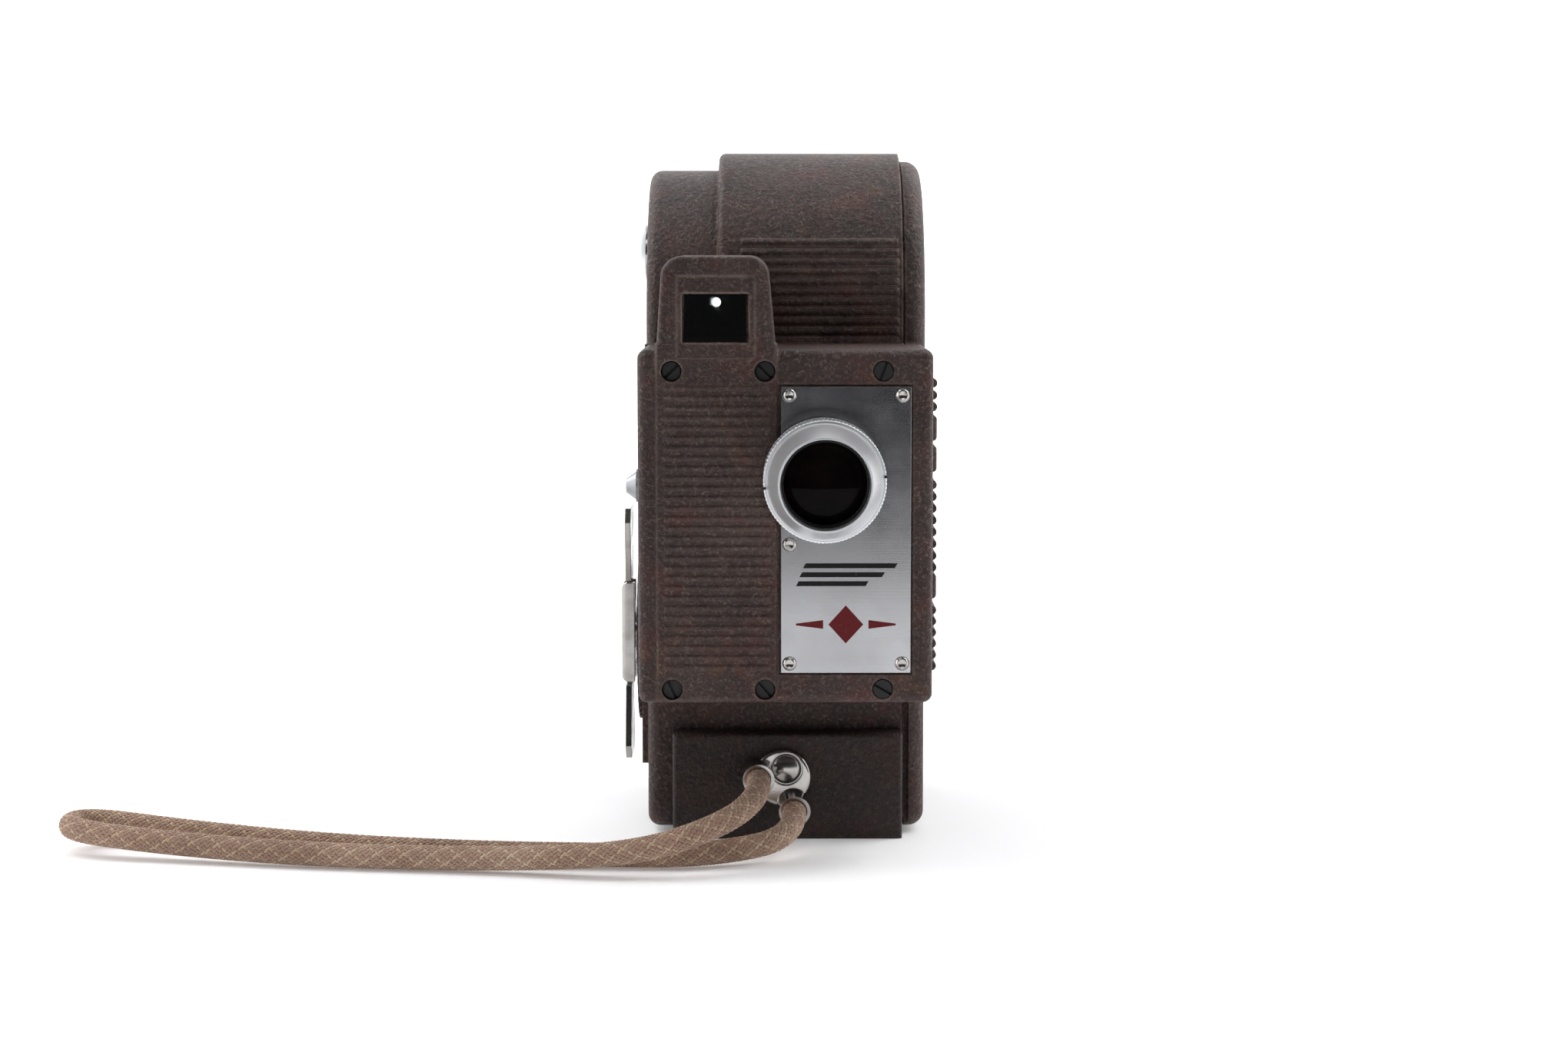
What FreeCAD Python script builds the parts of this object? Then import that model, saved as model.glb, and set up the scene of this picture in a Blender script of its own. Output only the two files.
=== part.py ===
import FreeCAD, Part

import math
import os

import Sketcher

App = FreeCAD
V = App.Vector
AX = V(1, 0, 0)
AY = V(0, 1, 0)
AZ = V(0, 0, 1)

doc = App.newDocument("cine_camera")
sheet = doc.addObject("Spreadsheet::Sheet", "dims")
NODES = []

# Driving dimensions, in millimetres unless the name says otherwise.
DIMS = {
    "left_x": -25.2,
    "seam_x": 21.3,
    "door_x": 25.4,
    "step_x": -12.3,
    "shell_radius": 30.0,
    "shell_wall": 2.4,
    "spool_y": 20.0,
    "base_z": 0.95,
    "front_corner": 3.4,
    "back_corner": 14.0,
    "lower_z": 32.4,
    "upper_z": 94.8,
    "shoulder_z": 91.6,
    "casing_left_x": -25.6,
    "casing_right_x": 25.2,
    "casing_front_y": -40.0,
    "casing_back_y": -16.0,
    "casing_bottom_z": 28.8,
    "casing_top_z": 89.9,
    "casing_wall": 2.2,
    "lens_x": 6.4,
    "lens_z": 68.0,
    "aperture_ring_radius": 10.45,
    "aperture_ring_bore": 7.55,
    "barrel_radius": 7.5,
    "mount_ring_radius": 9.3,
    "bezel_back_radius": 9.95,
    "bezel_front_radius": 7.95,
    "bezel_opening_radius": 7.62,
    "plate_thickness": 0.7,
    "rivet_radius": 1.25,
    "screw_head_radius": 1.62,
    "counterbore_radius": 1.78,
    "key_y": 12.5,
    "key_z": 34.8,
    "key_hub_length": 18.8,
    "key_hub_width": 9.0,
    "key_hub_thickness": 2.5,
    "key_wing_thickness": 1.1,
    "arbor_radius": 2.0,
    "arbor_bore": 2.05,
    "escutcheon_radius": 18.2,
    "bead_ring_radius": 16.75,
    "gear_module": 0.5,
    "wheel_thickness": 1.5,
    "staff_radius": 1.0,
    "staff_bore": 1.05,
    "drum_radius": 16.0,
    "drum_length": 12.0,
    "deck_thickness": 1.8,
    "spool_flange_radius": 25.4,
    "spool_core_radius": 11.0,
    "spool_width": 17.5,
    "spindle_radius": 4.0,
    "spindle_bore": 4.06,
    "foot_height": 19.3,
    "bush_radius": 5.0,
    "bush_bore": 3.175,
    "bush_length": 6.0,
    "shutter_radius": 15.5,
    "film_plane_y": -28.0,
    "roller_radius": 3.0,
    "button_radius": 5.0,
    "button_bore": 5.06,
    "knob_radius": 3.05,
    "latch_knob_radius": 7.0,
    "cord_radius": 2.2,
    "cord_socket_bore": 2.22,
    "ear_radius": 2.85,
}

for row, (alias, value) in enumerate(DIMS.items(), start=1):
    sheet.set("A%d" % row, alias)
    sheet.set("B%d" % row, repr(value))
    sheet.setAlias("B%d" % row, alias)
doc.recompute()

LEFT = DIMS["left_x"]
SEAM = DIMS["seam_x"]
DOOR = DIMS["door_x"]
STEP = DIMS["step_x"]
WALL = DIMS["shell_wall"]
INNER_LEFT = LEFT + WALL
SPOOL_Y = DIMS["spool_y"]
LOWER_Z = DIMS["lower_z"]
UPPER_Z = DIMS["upper_z"]
SHOULDER_Z = DIMS["shoulder_z"]
SHELL_R = DIMS["shell_radius"]
INNER_R = SHELL_R - WALL
CASE_Y = DIMS["casing_front_y"]
NECK_Y = DIMS["casing_back_y"]
CASE_Z0 = DIMS["casing_bottom_z"]
CASE_Z1 = DIMS["casing_top_z"]
CASE_LEFT = DIMS["casing_left_x"]
CASE_RIGHT = DIMS["casing_right_x"]
BASE_Z = DIMS["base_z"]
CASE_WALL = DIMS["casing_wall"]
LENS_X = DIMS["lens_x"]
LENS_Z = DIMS["lens_z"]
KEY_Y = DIMS["key_y"]
KEY_Z = DIMS["key_z"]
MODULE = DIMS["gear_module"]
WHEEL_T = DIMS["wheel_thickness"]
DECK_X0 = -1.0
DECK_X1 = DECK_X0 + DIMS["deck_thickness"]
SHUTTER_X = -1.0
SHUTTER_Z = 58.5
SHUTTER_S_Y = -3.0

# Numbers of teeth, and the three layers the wheels turn in.
TEETH_BARREL = 72
TEETH_FIRST_PINION = 18
TEETH_FIRST_WHEEL = 60
TEETH_IDLER_PINION = 15
TEETH_IDLER_WHEEL = 48
TEETH_DRIVE_PINION = 12
TEETH_TAKE_UP = 20
TEETH_BEVEL = 16
LAYER_BARREL = -12.0
LAYER_IDLER = -8.5
LAYER_FIRST = -5.5


# ---------------------------------------------------------------- helpers
def dim(name):
    return "dims." + name


def apply_sizes(obj, sizes):
    for prop, value in sizes.items():
        if isinstance(value, str):
            obj.setExpression(prop, value)
        else:
            setattr(obj, prop, value)


def solid(kind, name, at, axis=AZ, **sizes):
    """One Part primitive whose sizes are numbers or sheet expressions."""
    obj = doc.addObject("Part::" + kind, name)
    apply_sizes(obj, sizes)
    obj.Placement = App.Placement(V(*at), App.Rotation(AZ, axis))
    return obj


def cyl(name, at, axis, radius, length):
    return solid("Cylinder", name, at, axis, Radius=radius, Height=length)


def cone(name, at, axis, r1, r2, length):
    return solid("Cone", name, at, axis, Radius1=r1, Radius2=r2, Height=length)


def block(name, x, y, z):
    """A box given by its three ranges."""
    return solid("Box", name, (x[0], y[0], z[0]), AZ,
                 Length=x[1] - x[0], Width=y[1] - y[0], Height=z[1] - z[0])


def fuse(name, parts):
    obj = doc.addObject("Part::MultiFuse", name)
    obj.Shapes = list(parts)
    obj.Refine = True
    return obj


def cut(name, base, tools):
    obj = doc.addObject("Part::Cut", name)
    obj.Base = base
    obj.Tool = tools[0] if len(tools) == 1 else fuse(name + "_tools", tools)
    obj.Refine = True
    return obj


def fillet(name, base, radius, test):
    """Round the edges of base whose own shape passes test."""
    doc.recompute()
    obj = doc.addObject("Part::Fillet", name)
    obj.Base = base
    obj.Edges = [(i, radius, radius) for i, edge in enumerate(base.Shape.Edges, start=1) if test(edge)]
    return obj


def feature(name, shape):
    obj = doc.addObject("Part::Feature", name)
    obj.Shape = shape
    return obj


def publish(label, obj):
    obj.Label = label
    NODES.append(obj)
    return obj


def origin_plane(body, role):
    for item in body.Origin.OriginFeatures:
        if item.Role == role:
            return item
    raise ValueError(role)


def padded(name, role, offset, outline, thickness, holes=()):
    """A PartDesign body: one sketch on an origin plane, padded along its normal."""
    body = doc.addObject("PartDesign::Body", name)
    sketch = body.newObject("Sketcher::SketchObject", name + "_sketch")
    sketch.AttachmentSupport = [(origin_plane(body, role), "")]
    sketch.MapMode = "FlatFace"
    sketch.AttachmentOffset = App.Placement(V(0, 0, offset), App.Rotation())
    for edge in outline:
        sketch.addGeometry(edge, False)
    for u, v, radius in holes:
        plain = DIMS[radius[5:]] if isinstance(radius, str) else radius
        index = sketch.addGeometry(Part.Circle(V(u, v, 0), AZ, plain), False)
        row = sketch.addConstraint(Sketcher.Constraint("Radius", index, plain))
        if isinstance(radius, str):
            sketch.setExpression("Constraints[%d]" % row, radius)
    pad = body.newObject("PartDesign::Pad", name + "_pad")
    pad.Profile = sketch
    apply_sizes(pad, {"Length": thickness})
    sketch.Visibility = False
    body.Tip = pad
    return body


def polyline(points):
    corners = [V(u, v, 0) for u, v in points]
    return [Part.LineSegment(a, b) for a, b in zip(corners, corners[1:] + corners[:1])]


def rect(u0, u1, v0, v1):
    return polyline([(u0, v0), (u1, v0), (u1, v1), (u0, v1)])


def corner_arc(centre, radius, angle):
    """Quarter circle from angle to angle plus ninety degrees, in sketch coordinates."""
    points = [V(centre[0] + radius * math.cos(math.radians(turn)),
                centre[1] + radius * math.sin(math.radians(turn)), 0)
              for turn in (angle, angle + 45, angle + 90)]
    return Part.Arc(*points)


def body_outline(inset, high_z, nose=()):
    """Side profile in the Y-Z plane: round top, flat base with a tight front and a soft back corner.

    nose is the depth, lower and upper height of the square step that carries the front casing.
    """
    radius = SHELL_R - inset
    front = SPOOL_Y - radius
    back = SPOOL_Y + radius
    base = BASE_Z + inset
    tight = DIMS["front_corner"] - inset
    soft = DIMS["back_corner"] - inset
    stations = [(front, high_z)]
    if nose:
        nose_y, nose_z0, nose_z1 = nose
        stations += [(front, nose_z1), (nose_y, nose_z1), (nose_y, nose_z0), (front, nose_z0)]
    stations.append((front, base + tight))
    corners = [V(y, z, 0) for y, z in stations]
    edges = [Part.Arc(V(back, high_z, 0), V(SPOOL_Y, high_z + radius, 0), corners[0])]
    edges += [Part.LineSegment(a, b) for a, b in zip(corners, corners[1:])]
    edges.append(corner_arc((front + tight, base + tight), tight, 180))
    edges.append(Part.LineSegment(V(front + tight, base, 0), V(back - soft, base, 0)))
    edges.append(corner_arc((back - soft, base + soft), soft, 270))
    edges.append(Part.LineSegment(V(back, base + soft, 0), V(back, high_z, 0)))
    return edges


def deck_outline(radius, low_z, high_z, nose_y, nose_z0, nose_z1):
    """Two half circles of the spools' pitch joined by straight sides, with a square nose."""
    front = SPOOL_Y - radius
    back = SPOOL_Y + radius
    low_y = SPOOL_Y - math.sqrt(radius ** 2 - max(0.0, low_z - nose_z0) ** 2)
    return [
        Part.Arc(V(back, high_z, 0), V(SPOOL_Y, high_z + radius, 0), V(front, high_z, 0)),
        Part.LineSegment(V(front, high_z, 0), V(front, nose_z1, 0)),
        Part.LineSegment(V(front, nose_z1, 0), V(nose_y, nose_z1, 0)),
        Part.LineSegment(V(nose_y, nose_z1, 0), V(nose_y, nose_z0, 0)),
        Part.LineSegment(V(nose_y, nose_z0, 0), V(low_y, nose_z0, 0)),
        Part.LineSegment(V(low_y, nose_z0, 0), V(front, low_z, 0)),
        Part.Arc(V(front, low_z, 0), V(SPOOL_Y, low_z - radius, 0), V(back, low_z, 0)),
        Part.LineSegment(V(back, low_z, 0), V(back, high_z, 0)),
    ]


def dome_head(name, at, radius, height):
    """A shallow domed rivet or screw head facing -Y."""
    sphere_r = (radius ** 2 + height ** 2) / (2 * height)
    x, y, z = at
    ball = solid("Sphere", name + "_ball", (x, y + sphere_r - height, z), Radius=sphere_r)
    keep = cyl(name + "_keep", (x, y, z), V(0, -1, 0), radius, height + 1)
    obj = doc.addObject("Part::Common", name)
    obj.Base = ball
    obj.Tool = keep
    return obj


# ------------------------------------------------------------------ gears
def involute(angle):
    return math.tan(angle) - angle


def tooth_outline(teeth, thickness_factor):
    """Closed outline of a gear: involute flanks, stub teeth, a tooth centred on angle zero."""
    pitch_r = MODULE * teeth / 2
    tip_r = pitch_r + 0.7 * MODULE
    root_r = pitch_r - MODULE
    base_r = pitch_r * math.cos(math.radians(20))
    half_pitch = math.pi / (2 * teeth) * thickness_factor
    lean = involute(math.radians(20))
    flank = []
    for step in range(4):
        radius = max(root_r, base_r) + (tip_r - max(root_r, base_r)) * step / 3
        flank.append((radius, half_pitch + lean - involute(math.acos(min(1, base_r / radius)))))
    if root_r < base_r:
        flank.insert(0, (root_r, flank[0][1]))
    points = []
    for index in range(teeth):
        centre = 2 * math.pi * index / teeth
        points += [(radius, centre - half) for radius, half in flank]
        points += [(radius, centre + half) for radius, half in reversed(flank)]
    return points


def spur(teeth, x, centre, phase, thickness, thickness_factor=0.86):
    """A spur gear of the train: its axis along X, teeth in the Y-Z plane."""
    corners = []
    for radius, angle in tooth_outline(teeth, thickness_factor):
        turn = angle + phase
        corners.append(V(x, centre[0] + radius * math.cos(turn), centre[1] + radius * math.sin(turn)))
    wire = Part.makePolygon(corners + corners[:1])
    return Part.Face(wire).extrude(V(thickness, 0, 0))


def bevel(teeth, apex, axis, side, phase):
    """A 45 degree bevel gear pointing at apex; side is the direction of its first tooth."""
    pitch_r = MODULE * teeth / 2
    across = axis.cross(side)
    wires = []
    for scale in (1.0, 0.64):
        centre = apex - axis * (pitch_r * scale)
        corners = []
        for radius, angle in tooth_outline(teeth, 0.7):
            turn = angle + phase
            corners.append(centre + side * (radius * scale * math.cos(turn))
                           + across * (radius * scale * math.sin(turn)))
        wires.append(Part.makePolygon(corners + corners[:1]))
    return Part.makeLoft(wires, True, True)


def meeting_point(first, second, r1, r2, pick):
    """The point r1 from first and r2 from second, on the side of pick (+1 or -1)."""
    dy = second[0] - first[0]
    dz = second[1] - first[1]
    gap = math.hypot(dy, dz)
    along = (r1 ** 2 - r2 ** 2 + gap ** 2) / (2 * gap)
    off = math.sqrt(r1 ** 2 - along ** 2) * pick
    return (first[0] + along * dy / gap - off * dz / gap, first[1] + along * dz / gap + off * dy / gap)


def meshed_phase(driver, driver_teeth, driver_phase, follower, teeth):
    """Phase that puts a gap of the follower over the driver's tooth on the line of centres."""
    line = math.atan2(follower[1] - driver[1], follower[0] - driver[0])
    pitch = 2 * math.pi / driver_teeth
    lead = ((driver_phase - line) / pitch) % 1.0
    own_pitch = 2 * math.pi / teeth
    return line + math.pi - lead * own_pitch + own_pitch / 2


def pitch_radius(teeth):
    return MODULE * teeth / 2


BARREL = (KEY_Y, KEY_Z)
TAKE_UP = (SPOOL_Y, LOWER_Z)
SUPPLY = (SPOOL_Y, UPPER_Z)
DRIVE = (SHUTTER_S_Y, SHUTTER_Z)
FIRST = meeting_point(BARREL, TAKE_UP,
                      pitch_radius(TEETH_BARREL + TEETH_FIRST_PINION),
                      pitch_radius(TEETH_FIRST_WHEEL + TEETH_TAKE_UP), 1)
IDLER = meeting_point(FIRST, DRIVE,
                      pitch_radius(TEETH_FIRST_WHEEL + TEETH_IDLER_PINION),
                      pitch_radius(TEETH_IDLER_WHEEL + TEETH_DRIVE_PINION), -1)
GOVERNOR_ANGLE = math.radians(75)
GOVERNOR_REACH = pitch_radius(TEETH_IDLER_WHEEL + TEETH_DRIVE_PINION)
GOVERNOR = (IDLER[0] + GOVERNOR_REACH * math.cos(GOVERNOR_ANGLE),
            IDLER[1] + GOVERNOR_REACH * math.sin(GOVERNOR_ANGLE))
STAFFS = (FIRST, IDLER, DRIVE, GOVERNOR)

PILLARS = ((2.0, 15.5), (40.0, 30.0), (43.0, 76.0), (38.0, 104.0), (-2.5, 87.0))
BUTTON = (6.0, 106.3)
SPEED = (0.0, 63.3)
FOOTAGE = (30.0, 73.3)
FINDER_Z = 96.15
HOOD_X = (-22.4, -1.6)
FINDER_X = -13.45
SCREW_X = (-19.7, -3.7, 16.6)
SCREW_Z = (86.2, 31.3)
SLOT_TURNS = (45, -45, 20, -25, -40, -60)
RIVETS = ((0.5, 82.05), (19.9, 82.05), (0.5, 56.4), (0.5, 35.8), (19.9, 35.8))
STRAP_DISC = (-0.6, 11.5)
STRAP_SCREW = (0.1, 13.1)
FOOT_Y = -15.0


# ------------------------------------------------------------ body shell
def shell_outer():
    centre = padded("shell_centre", "YZ_Plane", STEP, body_outline(0.0, UPPER_Z), SEAM - STEP)
    softened = fillet("shell_step_round", centre, 1.2,
                      lambda e: e.BoundBox.XMax < STEP + 0.01 and e.BoundBox.ZMin > SHOULDER_Z)
    shoulder = padded("shell_shoulder", "YZ_Plane", LEFT,
                      body_outline(0.0, SHOULDER_Z), STEP - LEFT + 1.5)
    rounded = fillet("shell_shoulder_round", shoulder, 2.2,
                     lambda e: e.BoundBox.XMax < LEFT + 0.01)
    neck = block("shell_neck", (LEFT, SEAM), (NECK_Y, SPOOL_Y), (CASE_Z0, CASE_Z1))
    return [softened, rounded, neck]


RIB_RISE = 0.43


def shell_ribs():
    """Eleven close-set shallow ribs across the sloping brow over the lens."""
    ribs = []
    for index in range(11):
        z = 90.3 + 1.78 * index
        turn = math.asin(max(0.0, z - UPPER_Z) / SHELL_R)
        reach = SHELL_R - 0.42
        level = UPPER_Z if turn else z
        ribs.append(cyl("brow_rib_%d" % index,
                        (-8.0, SPOOL_Y - reach * math.cos(turn), level + reach * math.sin(turn)),
                        AX, RIB_RISE + 0.42, 28.5))
    return ribs


def shell_cavities():
    mech = padded("shell_mech_space", "YZ_Plane", INNER_LEFT,
                  body_outline(WALL, SHOULDER_Z), DECK_X0 - INNER_LEFT)
    film = padded("shell_film_space", "YZ_Plane", DECK_X0,
                  body_outline(WALL, UPPER_Z), SEAM - DECK_X0 + 1)
    nose = block("shell_nose_space", (INNER_LEFT, SEAM + 1), (NECK_Y - 1, -5.0),
                 (CASE_Z0 + WALL, CASE_Z1 - WALL))
    return [mech, film, nose]


def shell_bosses():
    bosses = [cyl("pillar_%d" % i, (INNER_LEFT - 0.5, y, z), AX, 2.6, DECK_X0 - INNER_LEFT + 0.5)
              for i, (y, z) in enumerate(PILLARS)]
    bosses += [cyl("staff_boss_%d" % i, (INNER_LEFT - 0.5, y, z), AX, 2.2, 1.5)
               for i, (y, z) in enumerate(STAFFS)]
    bosses.append(cyl("button_boss", (INNER_LEFT - 0.5, BUTTON[0], BUTTON[1]), AX, 6.8, 4.3))
    bosses.append(cyl("bush_boss", (0, 0, BASE_Z + 0.5), AZ, 7.5, 6.5))
    return bosses


def shell_holes():
    holes = [cyl("staff_hole_%d" % i, (INNER_LEFT - 1.6, y, z), AX, dim("staff_bore"), 4)
             for i, (y, z) in enumerate(STAFFS)]
    holes += [cyl("pillar_hole_%d" % i, (DECK_X0 - 8, y, z), AX, 1.1, 9) for i, (y, z) in enumerate(PILLARS)]
    holes.append(cyl("arbor_hole", (LEFT - 1, KEY_Y, KEY_Z), AX, dim("arbor_bore"), WALL + 2))
    holes.append(cyl("speed_hole", (LEFT - 1, SPEED[0], SPEED[1]), AX, 1.35, WALL + 2))
    holes.append(cyl("footage_recess", (LEFT - 1, FOOTAGE[0], FOOTAGE[1]), AX, 6.4, 1.9))
    holes.append(cyl("footage_hole", (LEFT - 1, FOOTAGE[0], FOOTAGE[1]), AX, 1.05, WALL + 2))
    holes.append(cyl("button_well", (LEFT - 1, BUTTON[0], BUTTON[1]), AX, dim("button_bore"), 5.6))
    holes.append(cyl("button_stem_hole", (LEFT - 1, BUTTON[0], BUTTON[1]), AX, 1.5, 9))
    holes.append(cyl("eyepiece_hole", (FINDER_X, 44.0, FINDER_Z), AY, 3.0, 8))
    holes.append(block("finder_hole", (-18.0, -6.4), (-12.0, -6.0), (90.8, 99.8)))
    holes.append(cyl("bush_hole", (0, 0, 0), AZ, dim("bush_radius"), 9))
    return holes


def main_housing():
    """Left-hand shell: spool-shaped body, mechanism space, film space, bosses and brow ribs."""
    outer = fuse("housing_outer", shell_outer() + shell_ribs())
    hollow = cut("housing_hollow", outer, shell_cavities())
    pad = block("housing_side_pad", (LEFT - 1.1, LEFT + 0.5), (-7.0, -3.0), (12.6, 24.6))
    full = fuse("housing_full", [hollow, pad] + shell_bosses())
    return publish("main_housing", cut("housing", full, shell_holes()))


# ----------------------------------------------------------- front casing
def casing_block():
    box = block("casing_box", (CASE_LEFT, CASE_RIGHT), (CASE_Y, NECK_Y - 0.05), (CASE_Z0, CASE_Z1))
    return fillet("casing_round", box, 1.6,
                  lambda e: e.BoundBox.YMax < NECK_Y - 0.1
                  or (e.BoundBox.YLength > 20 and e.BoundBox.ZMin > CASE_Z1 - 1)
                  or (e.BoundBox.YLength > 20 and e.BoundBox.ZMax < CASE_Z0 + 1))


def casing_panel():
    """Raised panel on the left of the face, with its fine horizontal ribs."""
    slab = block("panel_slab", HOOD_X, (CASE_Y - 0.7, CASE_Y + 1), (CASE_Z0 + 0.6, 91.0))
    panel = fillet("panel_round", slab, 0.45,
                   lambda e: e.BoundBox.YMax < CASE_Y - 0.6 and e.BoundBox.ZMin < 90)
    ribs = [cyl("panel_rib_%d" % i, (-21.0, CASE_Y - 0.5, 35.2 + 1.72 * i), AX, 0.52, 18.2)
            for i in range(29)]
    return [panel] + ribs


def hood_outline():
    """Front view of the finder hood: sides that lean in a little and two round shoulders."""
    foot_z = 88.0
    top_z = 105.8
    bend_z = 102.2
    left = HOOD_X[0]
    right = HOOD_X[1]
    left_top = left + 0.9
    right_top = right - 1.3
    reach = 3.6
    corners = [V(left, foot_z, 0), V(left_top, bend_z, 0), V(left_top + reach, top_z, 0),
               V(right_top - reach, top_z, 0), V(right_top, bend_z, 0), V(right, foot_z, 0)]
    bow = reach * (1 - math.sqrt(0.5))
    left_mid = V(left_top + bow, top_z - bow, 0)
    right_mid = V(right_top - bow, top_z - bow, 0)
    return [Part.LineSegment(corners[0], corners[1]), Part.Arc(corners[1], left_mid, corners[2]),
            Part.LineSegment(corners[2], corners[3]), Part.Arc(corners[3], right_mid, corners[4]),
            Part.LineSegment(corners[4], corners[5]), Part.LineSegment(corners[5], corners[0])]


def finder_hood():
    """Hood over the finder window; it clears the dome behind it and the brow ribs."""
    depth = 36.7
    body = padded("hood_pad", "XZ_Plane", 4.0, hood_outline(), depth)
    rounded = fillet("hood_round", body, 0.8,
                     lambda e: e.BoundBox.YMax < CASE_Y - 0.6 and e.BoundBox.ZMax > 90)
    dome = cyl("hood_dome_cut", (-30, SPOOL_Y, UPPER_Z), AX, SHELL_R + 0.05, 60)
    ribs = cyl("hood_rib_cut", (-8.15, SPOOL_Y, UPPER_Z), AX, SHELL_R + RIB_RISE + 0.05, 30)
    back = block("hood_back_cut", (-30, 30), (-10.05, 5), (80, UPPER_Z))
    rib_back = block("hood_rib_back_cut", (-8.15, 30), (-10.05 - RIB_RISE, 5), (80, UPPER_Z))
    neck = block("hood_neck_cut", (-30, 30), (NECK_Y - 0.05, 0), (80, CASE_Z1 + 0.05))
    return cut("hood_trimmed", rounded, [dome, ribs, back, rib_back, neck])


def casing_side_relief():
    """Moulded relief down the right-hand flank: fine ribs with three taller lobes."""
    fine = [84.0, 81.9, 79.9] + [66.4 - 2.05 * i for i in range(8)] + [44.6 - 1.95 * i for i in range(6)]
    parts = [cyl("flank_rib_%d" % i, (CASE_RIGHT, -36.5, z), AY, 0.8, 17) for i, z in enumerate(fine)]
    for i, (z, height) in enumerate(((76.2, 4.4), (70.9, 4.6), (48.8, 4.4))):
        lobe = block("flank_lobe_%d" % i, (CASE_RIGHT - 1, CASE_RIGHT + 0.8), (-36.5, -19.5),
                     (z - height / 2, z + height / 2))
        parts.append(fillet("flank_lobe_round_%d" % i, lobe, 0.75,
                            lambda e: e.BoundBox.XMin > CASE_RIGHT + 0.7))
    return parts


def casing_cuts():
    inner = block("casing_inner", (CASE_LEFT + CASE_WALL, CASE_RIGHT - CASE_WALL),
                  (CASE_Y + CASE_WALL, NECK_Y + 1), (CASE_Z0 + CASE_WALL, CASE_Z1 - CASE_WALL))
    window = block("finder_window_cut", (-17.8, -6.5), (CASE_Y - 2, CASE_Y + 4), (91.1, 99.4))
    tunnel = block("finder_tunnel_cut", (-17.6, -6.9), (CASE_Y + 3, 0), (91.1, 99.4))
    recess = block("plate_recess", (-1.35, 21.65), (CASE_Y - 1, CASE_Y + 0.4), (33.85, 83.95))
    frame = block("finder_frame_cut", (-18.7, -5.45), (CASE_Y - 2, CASE_Y - 0.45), (88.6, 102.4))
    mount = cyl("mount_bore", (LENS_X, CASE_Y + 4, LENS_Z), V(0, -1, 0), 7.55, 8)
    seat = cyl("mount_seat", (LENS_X, CASE_Y - 0.2, LENS_Z), V(0, -1, 0), 9.45, 3)
    staff = cyl("shutter_bearing_bore", (SHUTTER_X, -36.6, SHUTTER_Z), AY, dim("staff_bore"), 4)
    cuts = [inner, window, tunnel, recess, frame, mount, seat]
    for i, (x, z) in enumerate(casing_screw_places()):
        cuts.append(cyl("casing_screw_hole_%d" % i, (x, CASE_Y - 2, z), AY, 1.0, 6.5))
        cuts.append(cyl("casing_screw_head_%d" % i, (x, CASE_Y - 2, z), AY, dim("counterbore_radius"), 3.4))
    for i, (x, z) in enumerate(RIVETS):
        cuts.append(cyl("rivet_hole_%d" % i, (x, CASE_Y - 1, z), AY, 0.6, 4))
    return cuts, staff


def casing_screw_places():
    return [(x, z) for z in SCREW_Z for x in SCREW_X]


def front_casing():
    """Cover over the lens side of the works, with the finder hood and the ribbed panel."""
    outer = fuse("casing_outer", [casing_block(), finder_hood()] + casing_panel() + casing_side_relief())
    cuts, staff = casing_cuts()
    hollow = cut("casing_hollow", outer, cuts)
    boss = cyl("shutter_bearing_boss", (SHUTTER_X, CASE_Y + CASE_WALL - 0.3, SHUTTER_Z), AY, 2.2, 3.4)
    screw_bosses = [cyl("casing_screw_boss_%d" % i, (x, CASE_Y + CASE_WALL - 0.3, z), AY, 1.9, 2.8)
                    for i, (x, z) in enumerate(casing_screw_places())]
    bosses = cut("casing_screw_bosses", fuse("casing_boss_set", screw_bosses),
                 [cyl("casing_boss_hole_%d" % i, (x, CASE_Y, z), AY, 1.0, 6)
                  for i, (x, z) in enumerate(casing_screw_places())])
    return publish("front_casing", cut("casing", fuse("casing_full", [hollow, boss, bosses]), [staff]))


def casing_screws():
    screws = []
    for i, (x, z) in enumerate(casing_screw_places()):
        head_y = CASE_Y + 1.35
        head = cyl("c_screw_head_%d" % i, (x, head_y, z), V(0, -1, 0), dim("screw_head_radius"), 1.3)
        shank = cyl("c_screw_shank_%d" % i, (x, head_y - 0.2, z), AY, 0.95, 3.2)
        slot = block("c_screw_slot_%d" % i, (-0.22, 0.22), (-0.4, 0.6), (-2, 2))
        aim = App.Placement(V(x, head_y - 1.3, z), App.Rotation(AY, SLOT_TURNS[i]))
        slot.Placement = aim.multiply(slot.Placement)
        screws.append(cut("c_screw_%d" % i, fuse("c_screw_body_%d" % i, [head, shank]), [slot]))
    return publish("casing_screws", fuse("casing_screw_set", screws))


def lens_plate():
    """Bright face plate around the lens, with its rivet holes."""
    holes = [(x, z, 0.62) for x, z in RIVETS]
    body = padded("face_plate", "XZ_Plane", -(CASE_Y + 0.4), rect(-0.95, 21.35, 34.2, 83.55),
                  dim("plate_thickness"), holes)
    opening = cyl("face_plate_opening", (LENS_X, CASE_Y - 3, LENS_Z), AY, 7.6, 6)
    return publish("lens_plate", cut("face_plate_cut", body, [opening]))


def plate_rivets():
    parts = []
    face = CASE_Y + 0.4 - DIMS["plate_thickness"]
    for i, (x, z) in enumerate(RIVETS):
        head = dome_head("rivet_head_%d" % i, (x, face, z), DIMS["rivet_radius"], 0.7)
        dish = solid("Sphere", "rivet_dish_%d" % i, (x, face - 1.55, z), Radius=1.3)
        shank = cyl("rivet_shank_%d" % i, (x, face - 0.1, z), AY, 0.58, 2.2)
        parts.append(cut("rivet_%d" % i, fuse("rivet_body_%d" % i, [head, shank]), [dish]))
    return publish("plate_rivets", fuse("rivet_set", parts))


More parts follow.
